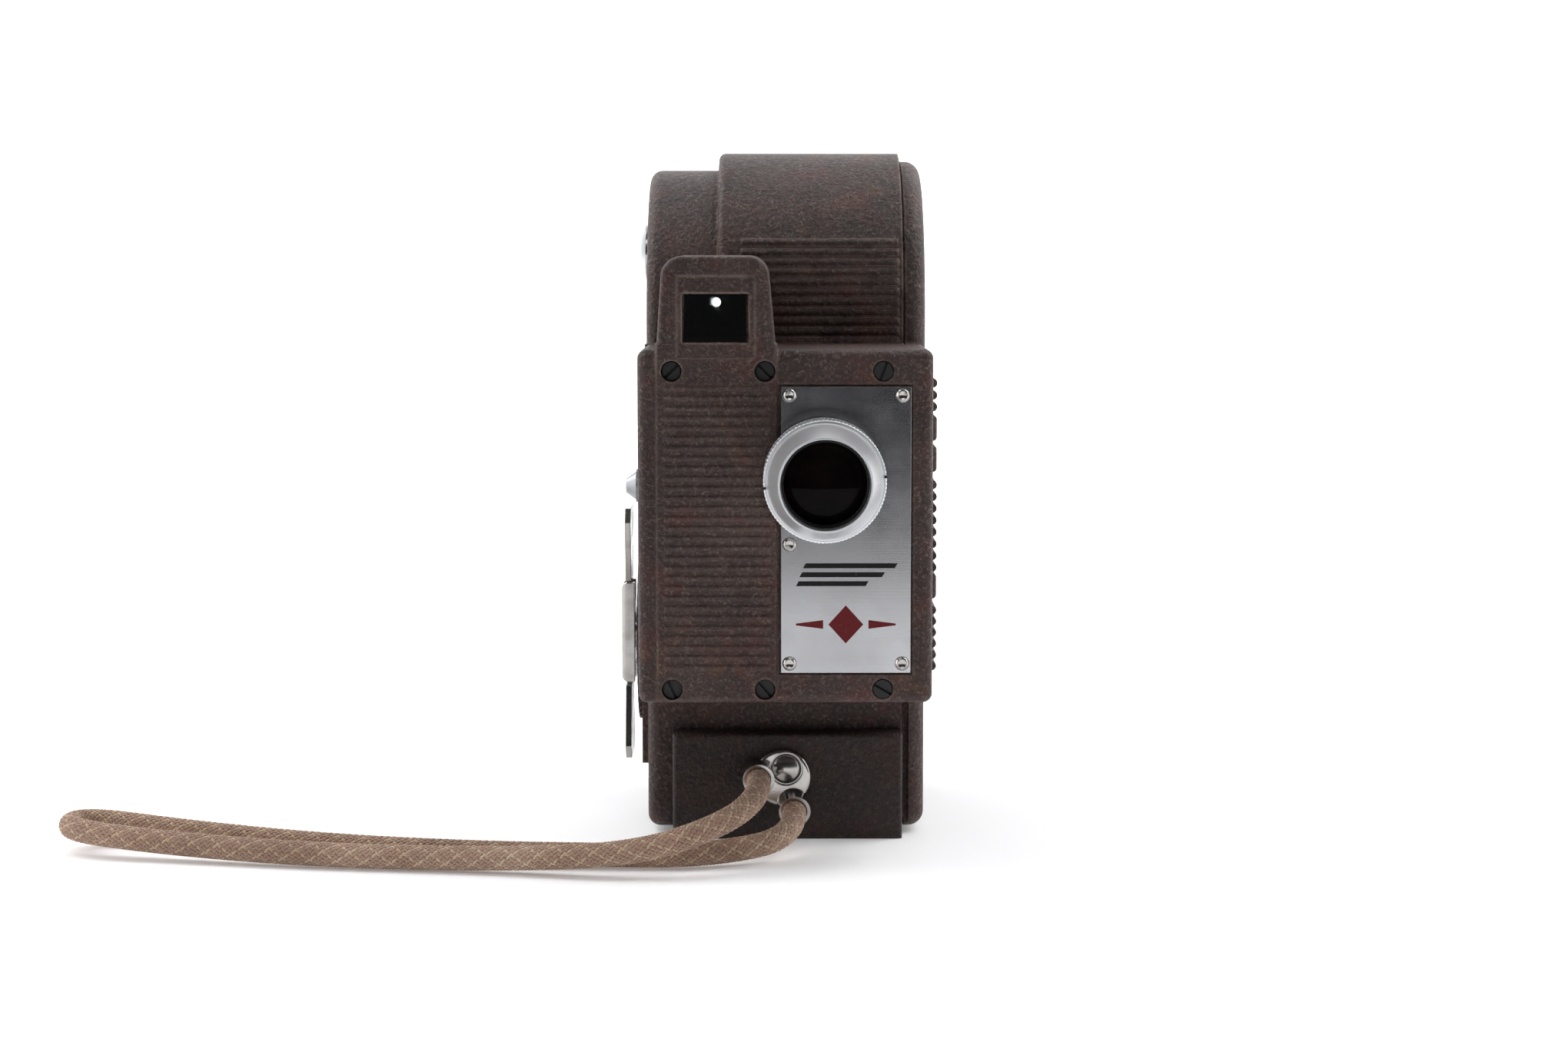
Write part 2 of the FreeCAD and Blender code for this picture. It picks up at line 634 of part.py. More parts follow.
# -------------------------------------------------------------------- lens
def along_lens(name, y0, y1, radius):
    """A cylinder on the lens axis between two depths."""
    return cyl(name, (LENS_X, y0, LENS_Z), AY, radius, y1 - y0)


def lens_mount_ring():
    outer = along_lens("mount_outer", -42.3, CASE_Y - 0.3, dim("mount_ring_radius"))
    notches = [cyl("mount_notch_%d" % i,
                   (LENS_X + 9.45 * math.cos(math.radians(12 * i)), -43,
                    LENS_Z + 9.45 * math.sin(math.radians(12 * i))), AY, 0.4, 4) for i in range(30)]
    bore = along_lens("mount_inner", -43, -39, 7.55)
    return publish("lens_mount_ring", cut("mount_ring", outer, [bore] + notches))


def lens_barrel():
    """Threaded barrel that carries both glasses and the iris."""
    tube = along_lens("barrel_tube", -54.6, -36.6, dim("barrel_radius"))
    bores = [along_lens("barrel_front_seat", -56, -51.4, 7.02),
             along_lens("barrel_throat", -52, -45.0, 5.8),
             along_lens("barrel_rear_seat", -45.5, -36, 4.52)]
    return publish("lens_barrel", cut("barrel", tube, bores))


def aperture_ring():
    """Milled ring that sets the iris, with a bevelled front edge."""
    ring = along_lens("stop_ring_outer", -50.0, -42.5, dim("aperture_ring_radius"))
    softened = fillet("stop_ring_round", ring, 0.3, lambda e: e.BoundBox.YMax < -49.9)
    bore = along_lens("stop_ring_bore", -51, -42, dim("aperture_ring_bore"))
    grooves = []
    for i in range(96):
        turn = math.radians(3.75 * i)
        grooves.append(cyl("stop_groove_%d" % i,
                           (LENS_X + 10.53 * math.cos(turn), -51, LENS_Z + 10.53 * math.sin(turn)),
                           AY, 0.2, 7.2))
    return publish("aperture_ring", cut("stop_ring", softened, [bore] + grooves))


def lens_bezel():
    """Tapered front ring with a thin lip round the wide opening."""
    outer = cone("bezel_outer", (LENS_X, -50.1, LENS_Z), V(0, -1, 0),
                 dim("bezel_back_radius"), dim("bezel_front_radius"), 6.9)
    seat = along_lens("bezel_seat", -54.65, -49, dim("barrel_radius"))
    mouth = along_lens("bezel_mouth", -58, -54, 7.4)
    flare = cone("bezel_flare", (LENS_X, -54.8, LENS_Z), V(0, -1, 0), 7.4, dim("bezel_opening_radius"), 2.21)
    return publish("lens_bezel", cut("bezel", outer, [seat, mouth, flare]))


def glass(label, y_front, y_back, radius, bulge):
    disc = along_lens(label + "_disc", y_front, y_back, radius)
    ball_r = (radius ** 2 + bulge ** 2) / (2 * bulge)
    ball = solid("Sphere", label + "_ball", (LENS_X, y_front - bulge + ball_r, LENS_Z), Radius=ball_r)
    tube = along_lens(label + "_rim", y_front - bulge - 1, y_front, radius)
    cap = doc.addObject("Part::Common", label + "_cap")
    cap.Base = ball
    cap.Tool = tube
    return publish(label, fuse(label + "_body", [disc, cap]))


def iris():
    ring = along_lens("iris_ring", -49.0, -48.4, 5.75)
    hole = along_lens("iris_hole", -50, -48, 2.4)
    return publish("iris_diaphragm", cut("iris", ring, [hole]))


# ------------------------------------------------------------------ finder
def finder_parts():
    glass_block = block("finder_glass", (-17.75, -6.55), (CASE_Y + 1.2, CASE_Y + 2.6), (91.15, 99.35))
    publish("finder_window", glass_block)
    tube = block("finder_tube_outer", (-17.4, -7.1), (-8.9, 46.4), (91.3, 99.2))
    bore = block("finder_tube_bore", (-16.7, -7.8), (-10, 45.7), (92.0, 98.5))
    peep = cyl("finder_tube_peep", (FINDER_X, 45, FINDER_Z), AY, 0.95, 4)
    publish("finder_tube", cut("finder_tunnel", tube, [bore, peep]))
    ring = cyl("eyepiece_outer", (FINDER_X, 47.05, FINDER_Z), AY, 2.95, 3.0)
    flange = cyl("eyepiece_flange", (FINDER_X, 50.05, FINDER_Z), AY, 5.4, 1.4)
    sight = cyl("eyepiece_sight", (FINDER_X, 46, FINDER_Z), AY, 1.0, 8)
    seat = cyl("eyepiece_seat", (FINDER_X, 48.6, FINDER_Z), AY, 1.9, 1.2)
    publish("eyepiece_ring", cut("eyepiece", fuse("eyepiece_body", [ring, flange]), [sight, seat]))
    publish("eyepiece_lens", cyl("eyepiece_glass", (FINDER_X, 48.65, FINDER_Z), AY, 1.88, 1.1))


# --------------------------------------------------------- foot and bush
def foot_block():
    """Cast foot: an upstand in front of the body and a thin sole under it, with the bush opening."""
    sole = padded("foot_sole", "XY_Plane", 0.0, rect(-20.5, 21.2, FOOT_Y, 38.0), BASE_Z - 0.05,
                  [(0, 0, dim("bush_radius"))])
    front = block("foot_front", (-20.5, 21.2), (FOOT_Y, -10.05), (0, DIMS["foot_height"]))
    front.setExpression("Height", dim("foot_height"))
    body = fuse("foot_body", [sole, front])
    rounded = fillet("foot_round", body, 0.7,
                     lambda e: e.BoundBox.YMax < FOOT_Y + 0.1 and e.BoundBox.ZMax > 1
                     and e.BoundBox.ZLength < 30)
    screw = cyl("foot_strap_hole", (STRAP_SCREW[0], FOOT_Y - 1, STRAP_SCREW[1]), AY, 1.2, 5.5)
    return publish("foot_block", cut("foot", rounded, [screw]))


def tripod_bush():
    tube = cyl("bush_tube", (0, 0, 0), AZ, 4.98, dim("bush_length"))
    bore = cyl("bush_bore_tool", (0, 0, -1), AZ, dim("bush_bore"), 9)
    return publish("tripod_bush", cut("bush", tube, [bore]))


# ------------------------------------------------------------ wrist strap
def cord_run(start, towards):
    """Unit vector along one straight run of the cord."""
    run = V(*towards) - V(*start)
    run.normalize()
    return run


def strap_plate():
    """Formed bright plate: a dished disc with two round ears that grip the cord."""
    disc = cyl("strap_disc_blank", (STRAP_DISC[0], FOOT_Y, STRAP_DISC[1]), V(0, -1, 0), 5.2, 1.6)
    softened = fillet("strap_disc_body", disc, 0.7, lambda e: e.BoundBox.YMax < FOOT_Y - 1.5)
    ears = []
    sockets = []
    for name, end, inner in (("left", 0, 1), ("right", -1, -2)):
        run = cord_run(CORD_POINTS[end], CORD_POINTS[inner])
        seat = V(*CORD_POINTS[end])
        ears.append(cyl("strap_ear_" + name, tuple(seat - run * 1.5), run, dim("ear_radius"), 4.9))
        sockets.append(cyl("strap_socket_" + name, tuple(seat), run, dim("cord_socket_bore"), 6))
    seat = cyl("strap_screw_seat", (STRAP_SCREW[0], FOOT_Y - 0.95, STRAP_SCREW[1]), V(0, -1, 0), 3.0, 2)
    hole = cyl("strap_hole", (STRAP_SCREW[0], FOOT_Y + 1, STRAP_SCREW[1]), V(0, -1, 0), 1.25, 4)
    return publish("strap_plate", cut("strap", fuse("strap_body", [softened] + ears), sockets + [seat, hole]))


def strap_screw():
    head = dome_head("strap_screw_head", (STRAP_SCREW[0], FOOT_Y - 1.0, STRAP_SCREW[1]), 2.75, 1.2)
    shank = cyl("strap_screw_shank", (STRAP_SCREW[0], FOOT_Y - 1.3, STRAP_SCREW[1]), AY, 1.15, 5.2)
    return publish("strap_screw", fuse("strap_screw_body", [head, shank]))


# Corner points of the wrist cord, from the left ear round the far fold to the right ear.
CORD_POINTS = (
    (-5.2, -17.2, 12.0), (-4.0, -29.5, 11.4), (-10.5, -44.0, 8.4), (-26.5, -49.6, 4.2),
    (-52.0, -43.6, 2.3), (-82.0, -39.8, 2.3), (-108.0, -33.4, 3.0), (-128.4, -28.4, 4.6),
    (-126.7, -17.8, 4.6), (-106.5, -23.0, 3.0), (-82.0, -31.4, 2.35), (-56.0, -37.9, 2.3),
    (-33.0, -40.2, 2.3), (-13.0, -40.6, 2.3), (2.4, -32.5, 4.0), (1.4, -17.2, 6.6),
)


def cord_edges(points):
    """Straight runs joined by tangent arcs, with the radius of every bend."""
    corners = [V(*p) for p in points]
    runs = [b - a for a, b in zip(corners, corners[1:])]
    edges = []
    radii = []
    start = corners[0]
    for corner, before, after in zip(corners[1:-1], runs, runs[1:]):
        reach = 0.45 * min(before.Length, after.Length)
        turn = before.getAngle(after)
        radius = reach / math.tan(turn / 2)
        enter = corner - before.normalize() * reach
        leave = corner + V(after).normalize() * reach
        middle_dir = ((enter - corner) + (leave - corner)).normalize()
        centre = corner + middle_dir * (radius / math.cos(turn / 2))
        edges.append(Part.LineSegment(start, enter).toShape())
        edges.append(Part.Arc(enter, centre - middle_dir * radius, leave).toShape())
        radii.append(radius)
        start = leave
    edges.append(Part.LineSegment(start, corners[-1]).toShape())
    return edges, radii


def wrist_cord():
    edges, radii = cord_edges(CORD_POINTS)
    path = Part.Wire(edges)
    first = V(*CORD_POINTS[1]) - V(*CORD_POINTS[0])
    ring = Part.Wire(Part.makeCircle(DIMS["cord_radius"], V(*CORD_POINTS[0]), first))
    tube = path.makePipeShell([ring], True, False)
    section = math.pi * DIMS["cord_radius"] ** 2
    print("cord length %.2f mm" % path.Length)
    print("cord bend radii " + ", ".join("%.1f" % r for r in radii))
    print("cord volume ratio %.4f" % (tube.Volume / (section * path.Length)))
    return publish("wrist_cord", feature("cord_tube", tube))


# ------------------------------------------------------------ winding side
def ring_of(name, count, x, centre, reach, radius, length):
    parts = []
    for i in range(count):
        turn = 2 * math.pi * i / count
        parts.append(cyl("%s_%d" % (name, i),
                         (x, centre[0] + reach * math.cos(turn), centre[1] + reach * math.sin(turn)),
                         AX, radius, length))
    return parts


def key_escutcheon():
    """Round plate under the winding key with its beaded border."""
    base = cyl("escutcheon_base", (LEFT - 1.0, KEY_Y, KEY_Z), AX, dim("escutcheon_radius"), 1.0)
    rim = cyl("escutcheon_rim", (LEFT - 2.2, KEY_Y, KEY_Z), AX, dim("bead_ring_radius"), 1.3)
    dish = cyl("escutcheon_dish", (LEFT - 3.0, KEY_Y, KEY_Z), AX, 14.6, 2.0)
    hole = cyl("escutcheon_hole", (LEFT - 3.0, KEY_Y, KEY_Z), AX, 2.4, 4)
    scallops = ring_of("escutcheon_scallop", 44, LEFT - 3.0, BARREL, 17.0, 0.75, 2.0)
    return publish("key_escutcheon",
                   cut("escutcheon", fuse("escutcheon_body", [base, rim]), [dish, hole] + scallops))


KEY_X0 = -30.8
KEY_X1 = KEY_X0 + DIMS["key_hub_thickness"]
PIN_X = -29.4
PIN_REACH = 7.2


def key_hub():
    """Bar of the winding key, slotted at both ends for the folding wings."""
    half = DIMS["key_hub_length"] / 2
    wide = DIMS["key_hub_width"] / 2
    bar = block("key_bar", (KEY_X0, KEY_X1), (KEY_Y - wide, KEY_Y + wide), (KEY_Z - half, KEY_Z + half))
    rounded = fillet("key_bar_round", bar, 1.3, lambda e: e.BoundBox.XMax < KEY_X0 + 0.01)
    neck = cyl("key_neck", (KEY_X1 - 0.2, KEY_Y, KEY_Z), AX, 3.4, 0.9)
    slots = []
    for side in (-1, 1):
        ends = sorted((KEY_Z + side * (PIN_REACH - 1.5), KEY_Z + side * (half + 1)))
        slots.append(block("key_slot_%d" % (side + 1), (KEY_X0 - 1, KEY_X1 + 0.5),
                           (KEY_Y - 2.3, KEY_Y + 2.3), ends))
        slots.append(cyl("key_pin_hole_%d" % (side + 1),
                         (PIN_X, KEY_Y - wide + 0.8, KEY_Z + side * PIN_REACH), AY, 0.6, 2 * wide - 1.6))
    return publish("key_hub", cut("hub", fuse("hub_body", [rounded, neck]), slots))


def key_wing(label, side):
    """One flared wing with the tongue that turns on its pin."""
    pin_z = KEY_Z + side * PIN_REACH
    root = 2.7
    tip = 16.4
    outline = [(KEY_Y - 2.1, 0.0), (KEY_Y - 2.1, root), (KEY_Y - 5.2, root), (KEY_Y - 8.2, tip - 2.5),
               (KEY_Y - 6.0, tip), (KEY_Y + 6.0, tip), (KEY_Y + 8.2, tip - 2.5), (KEY_Y + 5.2, root),
               (KEY_Y + 2.1, root), (KEY_Y + 2.1, 0.0)]
    points = [(y, pin_z + side * z) for y, z in outline]
    body = padded(label + "_plate", "YZ_Plane", PIN_X - DIMS["key_wing_thickness"] / 2,
                  polyline(points), dim("key_wing_thickness"))
    knuckle = cyl(label + "_knuckle", (PIN_X, KEY_Y - 2.1, pin_z), AY, 0.95, 4.2)
    bore = cyl(label + "_bore", (PIN_X, KEY_Y - 3, pin_z), AY, 0.65, 6)
    return publish(label, cut(label + "_cut", fuse(label + "_body", [body, knuckle]), [bore]))


def key_pins():
    wide = DIMS["key_hub_width"] / 2
    pins = [cyl("key_pin_%d" % (side + 1), (PIN_X, KEY_Y - wide + 0.8, KEY_Z + side * PIN_REACH), AY,
                0.6, 2 * wide - 1.6) for side in (-1, 1)]
    return publish("key_pins", fuse("key_pin_set", pins))


def winding_arbor():
    shaft = cyl("arbor_shaft", (KEY_X1 + 0.7, KEY_Y, KEY_Z), AX, dim("arbor_radius"), DECK_X1 - 0.2 - KEY_X1 - 0.7)
    return publish("winding_arbor", shaft)


def ratchet_wheel():
    points = []
    teeth = 16
    for i in range(teeth):
        start = 2 * math.pi * i / teeth
        points.append((6.2, start))
        points.append((4.9, start + 0.02))
    corners = [V(-9.1, KEY_Y + r * math.cos(a), KEY_Z + r * math.sin(a)) for r, a in points]
    wheel = Part.Face(Part.makePolygon(corners + corners[:1])).extrude(V(1.4, 0, 0))
    hole = Part.makeCylinder(DIMS["arbor_radius"], 4, V(-10, KEY_Y, KEY_Z), AX)
    return publish("ratchet_wheel", feature("ratchet", wheel.cut(hole)))


PAWL = (KEY_Y - 9.0, KEY_Z - 5.5)


def click_pawl():
    """Sprung click that lets the ratchet turn one way."""
    dy = KEY_Y - PAWL[0]
    dz = KEY_Z - PAWL[1]
    reach = math.hypot(dy, dz)
    length = reach - 6.2 - 0.15
    hub = cyl("pawl_hub", (-9.1, PAWL[0], PAWL[1]), AX, 1.9, 1.4)
    arm = solid("Box", "pawl_arm", (0, 0, 0), Length=1.4, Width=length, Height=1.6)
    turn = math.degrees(math.atan2(dz, dy))
    arm.Placement = App.Placement(V(-9.1, PAWL[0], PAWL[1]), App.Rotation(AX, turn),
                                  V(0, 0, 0)).multiply(App.Placement(V(0, 0, -0.8), App.Rotation()))
    bore = cyl("pawl_bore", (-10, PAWL[0], PAWL[1]), AX, dim("staff_bore"), 4)
    return publish("click_pawl", cut("pawl", fuse("pawl_body", [hub, arm]), [bore]))


def pawl_post():
    return publish("pawl_post", cyl("pawl_post_pin", (-9.3, PAWL[0], PAWL[1]), AX, dim("staff_radius"),
                                    DECK_X1 - 0.2 + 9.3))


def footage_counter():
    dial = cyl("footage_dial_disc", (-24.9, FOOTAGE[0], FOOTAGE[1]), AX, 6.2, 0.5)
    spindle = cyl("footage_spindle", (-24.5, FOOTAGE[0], FOOTAGE[1]), AX, 1.0, 2.2)
    publish("footage_dial", fuse("footage_dial_body", [dial, spindle]))
    ring = cyl("footage_ring_outer", (LEFT - 0.6, FOOTAGE[0], FOOTAGE[1]), AX, 8.0, 0.6)
    hole = cyl("footage_ring_hole", (LEFT - 1.6, FOOTAGE[0], FOOTAGE[1]), AX, 6.5, 3)
    publish("footage_bezel", cut("footage_ring", ring, [hole]))
    radius = 6.45
    bulge = 1.35
    ball_r = (radius ** 2 + bulge ** 2) / (2 * bulge)
    ball = solid("Sphere", "crystal_ball", (LEFT - bulge + ball_r, FOOTAGE[0], FOOTAGE[1]), Radius=ball_r)
    keep = cyl("crystal_keep", (LEFT - 3, FOOTAGE[0], FOOTAGE[1]), AX, radius, 3.0)
    cap = doc.addObject("Part::Common", "crystal_cap")
    cap.Base = ball
    cap.Tool = keep
    publish("footage_crystal", cap)


def speed_knob():
    """Small stepped speed knob on the winding side."""
    base = cyl("speed_base", (LEFT - 2.3, SPEED[0], SPEED[1]), AX, dim("knob_radius"), 2.25)
    grip = cone("speed_grip", (LEFT - 2.25, SPEED[0], SPEED[1]), V(-1, 0, 0), 2.7, 1.3, 1.95)
    stem = cyl("speed_stem", (LEFT - 0.1, SPEED[0], SPEED[1]), AX, 1.3, 3.4)
    notches = ring_of("speed_notch", 20, LEFT - 2.5, SPEED, 3.15, 0.3, 2.0)
    return publish("speed_knob", cut("speed", fuse("speed_body", [base, grip, stem]), notches))


def release_button():
    """Domed push button; its stem carries a retaining collar behind the well."""
    ball_r = (5.0 ** 2 + 1.2 ** 2) / 2.4
    ball = solid("Sphere", "button_ball", (-26.9 + ball_r, BUTTON[0], BUTTON[1]), Radius=ball_r)
    keep = cyl("button_keep", (-27.5, BUTTON[0], BUTTON[1]), AX, dim("button_radius"), 3.9)
    cap = doc.addObject("Part::Common", "button_cap")
    cap.Base = ball
    cap.Tool = keep
    stem = cyl("button_stem", (-24.0, BUTTON[0], BUTTON[1]), AX, 1.4, 6.2)
    collar = cyl("button_collar", (-18.2, BUTTON[0], BUTTON[1]), AX, 2.6, 0.6)
    return publish("release_button", fuse("button_body", [cap, stem, collar]))


def coil(name, x0, x1, centre, radius, wire_r, turns):
    """A helical spring along X."""
    helix = Part.makeHelix((x1 - x0 - 2 * wire_r) / turns, x1 - x0 - 2 * wire_r, radius)
    start = V(radius, 0, 0)
    ring = Part.Wire(Part.makeCircle(wire_r, start, V(0, 1, 0)))
    pipe = Part.Wire(helix.Edges).makePipeShell([ring], True, True)
    pipe.Placement = App.Placement(V(x0 + wire_r, centre[0], centre[1]), App.Rotation(AZ, AX))
    return feature(name, pipe)


def release_spring():
    return publish("release_spring", coil("button_spring", -23.55, -21.9, BUTTON, 3.0, 0.25, 2))


# ------------------------------------------------------------ mechanism
def with_staff(shape, centre, x0, x1):
    staff = Part.makeCylinder(DIMS["staff_radius"], x1 - x0, V(x0, centre[0], centre[1]), AX)
    return shape.fuse(staff).removeSplitter()


STAFF_X0 = INNER_LEFT - 1.5
STAFF_X1 = DECK_X1 - 0.2
BARREL_PHASE = 0.0
FIRST_PINION_PHASE = meshed_phase(BARREL, TEETH_BARREL, BARREL_PHASE, FIRST, TEETH_FIRST_PINION)
TAKE_UP_PHASE = meshed_phase(FIRST, TEETH_FIRST_WHEEL, 0.0, TAKE_UP, TEETH_TAKE_UP)
IDLER_PINION_PHASE = meshed_phase(FIRST, TEETH_FIRST_WHEEL, 0.0, IDLER, TEETH_IDLER_PINION)
DRIVE_PHASE = meshed_phase(IDLER, TEETH_IDLER_WHEEL, 0.0, DRIVE, TEETH_DRIVE_PINION)
GOVERNOR_PHASE = meshed_phase(IDLER, TEETH_IDLER_WHEEL, 0.0, GOVERNOR, TEETH_DRIVE_PINION)


def lightened(wheel, x, centre, reach, radius, count=5):
    """Cut the round windows of a wheel between hub and rim."""
    for i in range(count):
        turn = 2 * math.pi * i / count
        at = V(x - 1, centre[0] + reach * math.cos(turn), centre[1] + reach * math.sin(turn))
        wheel = wheel.cut(Part.makeCylinder(radius, 6, at, AX))
    return wheel


def spring_barrel():
    """Drum that houses the mainspring, with the great wheel on its rim."""
    x0 = LAYER_BARREL + 2.5 - DIMS["drum_length"]
    rim = spur(TEETH_BARREL, LAYER_BARREL, BARREL, BARREL_PHASE, 2.5)
    drum = Part.makeCylinder(DIMS["drum_radius"], DIMS["drum_length"], V(x0, KEY_Y, KEY_Z), AX)
    hollow = Part.makeCylinder(15.0, DIMS["drum_length"] - 2.0, V(x0 + 1.0, KEY_Y, KEY_Z), AX)
    bore = Part.makeCylinder(DIMS["arbor_bore"], 30, V(x0 - 5, KEY_Y, KEY_Z), AX)
    return publish("spring_barrel", feature("barrel_drum", rim.fuse(drum).cut(hollow).cut(bore)))


def mainspring():
    """Flat strip wound as a spiral between the arbor and the drum wall."""
    inner_r = 3.2
    outer_r = 14.4
    turns = 7
    steps = 24 * turns
    half_t = 0.3
    outer = []
    inner = []
    for i in range(steps + 1):
        angle = 2 * math.pi * turns * i / steps
        radius = inner_r + (outer_r - inner_r) * i / steps
        unit = V(0, math.cos(angle), math.sin(angle))
        centre = V(LAYER_BARREL + 2.5 - DIMS["drum_length"] + 1.5, KEY_Y, KEY_Z)
        outer.append(centre + unit * (radius + half_t))
        inner.append(centre + unit * (radius - half_t))
    loop = outer + list(reversed(inner))
    strip = Part.Face(Part.makePolygon(loop + loop[:1])).extrude(V(DIMS["drum_length"] - 3.0, 0, 0))
    return publish("mainspring", feature("spring_strip", strip))


def first_wheel():
    pinion = spur(TEETH_FIRST_PINION, LAYER_BARREL, FIRST, FIRST_PINION_PHASE, 2.5)
    wheel = lightened(spur(TEETH_FIRST_WHEEL, LAYER_FIRST, FIRST, 0.0, WHEEL_T), LAYER_FIRST, FIRST, 8.6, 3.4)
    return publish("first_wheel", feature("first_wheel_body",
                                          with_staff(pinion.fuse(wheel), FIRST, STAFF_X0, STAFF_X1)))


def idler_wheel():
    pinion = spur(TEETH_IDLER_PINION, LAYER_FIRST, IDLER, IDLER_PINION_PHASE, WHEEL_T)
    wheel = lightened(spur(TEETH_IDLER_WHEEL, LAYER_IDLER, IDLER, 0.0, WHEEL_T), LAYER_IDLER, IDLER, 6.8, 2.6)
    return publish("idler_wheel", feature("idler_wheel_body",
                                          with_staff(pinion.fuse(wheel), IDLER, STAFF_X0, STAFF_X1)))


def drive_shaft():
    pinion = spur(TEETH_DRIVE_PINION, LAYER_IDLER, DRIVE, DRIVE_PHASE, WHEEL_T)
    apex = V(SHUTTER_X, DRIVE[0], DRIVE[1])
    mitre = bevel(TEETH_BEVEL, apex, AX, V(0, -1, 0), 0.0)
    return publish("shutter_drive_shaft", feature("drive_shaft_body", with_staff(
        pinion.fuse(mitre), DRIVE, STAFF_X0, SHUTTER_X - 1.3)))


def governor():
    """Centrifugal speed governor: pinion, disc and two brake shoes on one staff."""
    pinion = spur(TEETH_DRIVE_PINION, LAYER_IDLER, GOVERNOR, GOVERNOR_PHASE, WHEEL_T)
    disc = Part.makeCylinder(8.0, 1.2, V(-13.2, GOVERNOR[0], GOVERNOR[1]), AX)
    shoes = Part.makeCylinder(7.6, 4.0, V(-17.1, GOVERNOR[0], GOVERNOR[1]), AX)
    shoes = shoes.cut(Part.makeCylinder(5.4, 6.0, V(-18, GOVERNOR[0], GOVERNOR[1]), AX))
    gap = Part.makeBox(8, 20, 5, V(-20, GOVERNOR[0] - 10, GOVERNOR[1] - 2.5))
    shape = pinion.fuse(disc).fuse(shoes.cut(gap))
    return publish("governor_rotor", feature("governor_body", with_staff(shape, GOVERNOR, STAFF_X0, STAFF_X1)))


def shutter_shaft():
    apex = V(SHUTTER_X, DRIVE[0], DRIVE[1])
    half_tooth = math.pi / TEETH_BEVEL
    mitre = bevel(TEETH_BEVEL, apex, AY, V(-1, 0, 0), half_tooth)
    back = DRIVE[0] - 2.9
    front = -36.2
    staff = Part.makeCylinder(DIMS["staff_radius"], back - front, V(SHUTTER_X, front, SHUTTER_Z), AY)
    return publish("shutter_shaft", feature("shutter_shaft_body", mitre.fuse(staff).removeSplitter()))


def shutter_disc():
    """Thin rotary shutter with its open sector, on a small hub."""
    y = -32.4
    disc = Part.makeCylinder(DIMS["shutter_radius"], 0.4, V(SHUTTER_X, y, SHUTTER_Z), AY)
    hub = Part.makeCylinder(2.6, 1.4, V(SHUTTER_X, y, SHUTTER_Z), AY)
    sector = Part.makeCylinder(DIMS["shutter_radius"] + 1, 2, V(SHUTTER_X, y - 1, SHUTTER_Z), AY, 165)
    core = Part.makeCylinder(4.2, 4, V(SHUTTER_X, y - 2, SHUTTER_Z), AY)
    bore = Part.makeCylinder(DIMS["staff_radius"], 4, V(SHUTTER_X, y - 2, SHUTTER_Z), AY)
    shape = disc.cut(sector.cut(core)).fuse(hub).cut(bore)
    return publish("shutter_disc", feature("shutter_blade", shape))


def mechanism_plate():
    """Deck between the works and the film: every staff runs in it."""
    outline = deck_outline(INNER_R - 0.1, LOWER_Z, UPPER_Z, -30.8, 33.0, 85.8)
    holes = [(y, z, dim("staff_bore")) for y, z in (FIRST, IDLER, GOVERNOR)]
    holes += [(y, z, 1.05) for y, z in PILLARS]
    holes += [(KEY_Y, KEY_Z, dim("arbor_bore")), (SPOOL_Y, LOWER_Z, 3.05), (PAWL[0], PAWL[1], 1.0)]
    body = padded("deck_plate", "YZ_Plane", DECK_X0, outline, dim("deck_thickness"), holes)
    slot = block("deck_shaft_slot", (DECK_X0 - 1, DECK_X1 + 1), (-32, -6), (56.5, 60.5))
    window = block("deck_bevel_window", (DECK_X0 - 1, DECK_X1 + 1), (-9.5, 3.0), (53.0, 64.0))
    return publish("mechanism_plate", cut("deck", body, [slot, window]))


def deck_screws():
    screws = []
    for i, (y, z) in enumerate(PILLARS):
        head = cyl("deck_screw_head_%d" % i, (DECK_X1, y, z), AX, 1.9, 0.75)
        shank = cyl("deck_screw_shank_%d" % i, (DECK_X1 - 6, y, z), AX, 1.02, 6.2)
        slot = block("deck_screw_slot_%d" % i, (DECK_X1 + 0.35, DECK_X1 + 1), (y - 0.2, y + 0.2), (z - 2, z + 2))
        screws.append(cut("deck_screw_%d" % i, fuse("deck_screw_body_%d" % i, [head, shank]), [slot]))
    return publish("deck_screws", fuse("deck_screw_set", screws))


# ------------------------------------------------------------ film side
def spool(label, centre):
    """Fifty-one millimetre film spool with slotted flanges."""
    x0 = 1.7
    wide = DIMS["spool_width"]
    core = cyl(label + "_core", (x0, centre[0], centre[1]), AX, dim("spool_core_radius"), dim("spool_width"))
    near = cyl(label + "_near", (x0, centre[0], centre[1]), AX, dim("spool_flange_radius"), 0.8)
    far = cyl(label + "_far", (x0 + wide - 0.8, centre[0], centre[1]), AX, dim("spool_flange_radius"), 0.8)
    bore = cyl(label + "_bore", (x0 - 1, centre[0], centre[1]), AX, dim("spindle_bore"), wide + 2)
    windows = ring_of(label + "_window", 3, x0 - 1, centre, 17.5, 3.2, wide + 2)
    return publish(label, cut(label + "_cut", fuse(label + "_body", [core, near, far]), [bore] + windows))


def supply_spindle():
    flange = cyl("supply_flange", (DECK_X1, SUPPLY[0], SUPPLY[1]), AX, 6.0, 0.8)
    post = cyl("supply_post", (DECK_X1, SUPPLY[0], SUPPLY[1]), AX, dim("spindle_radius"), 19.6)
    return publish("supply_spindle", fuse("supply_spindle_body", [flange, post]))


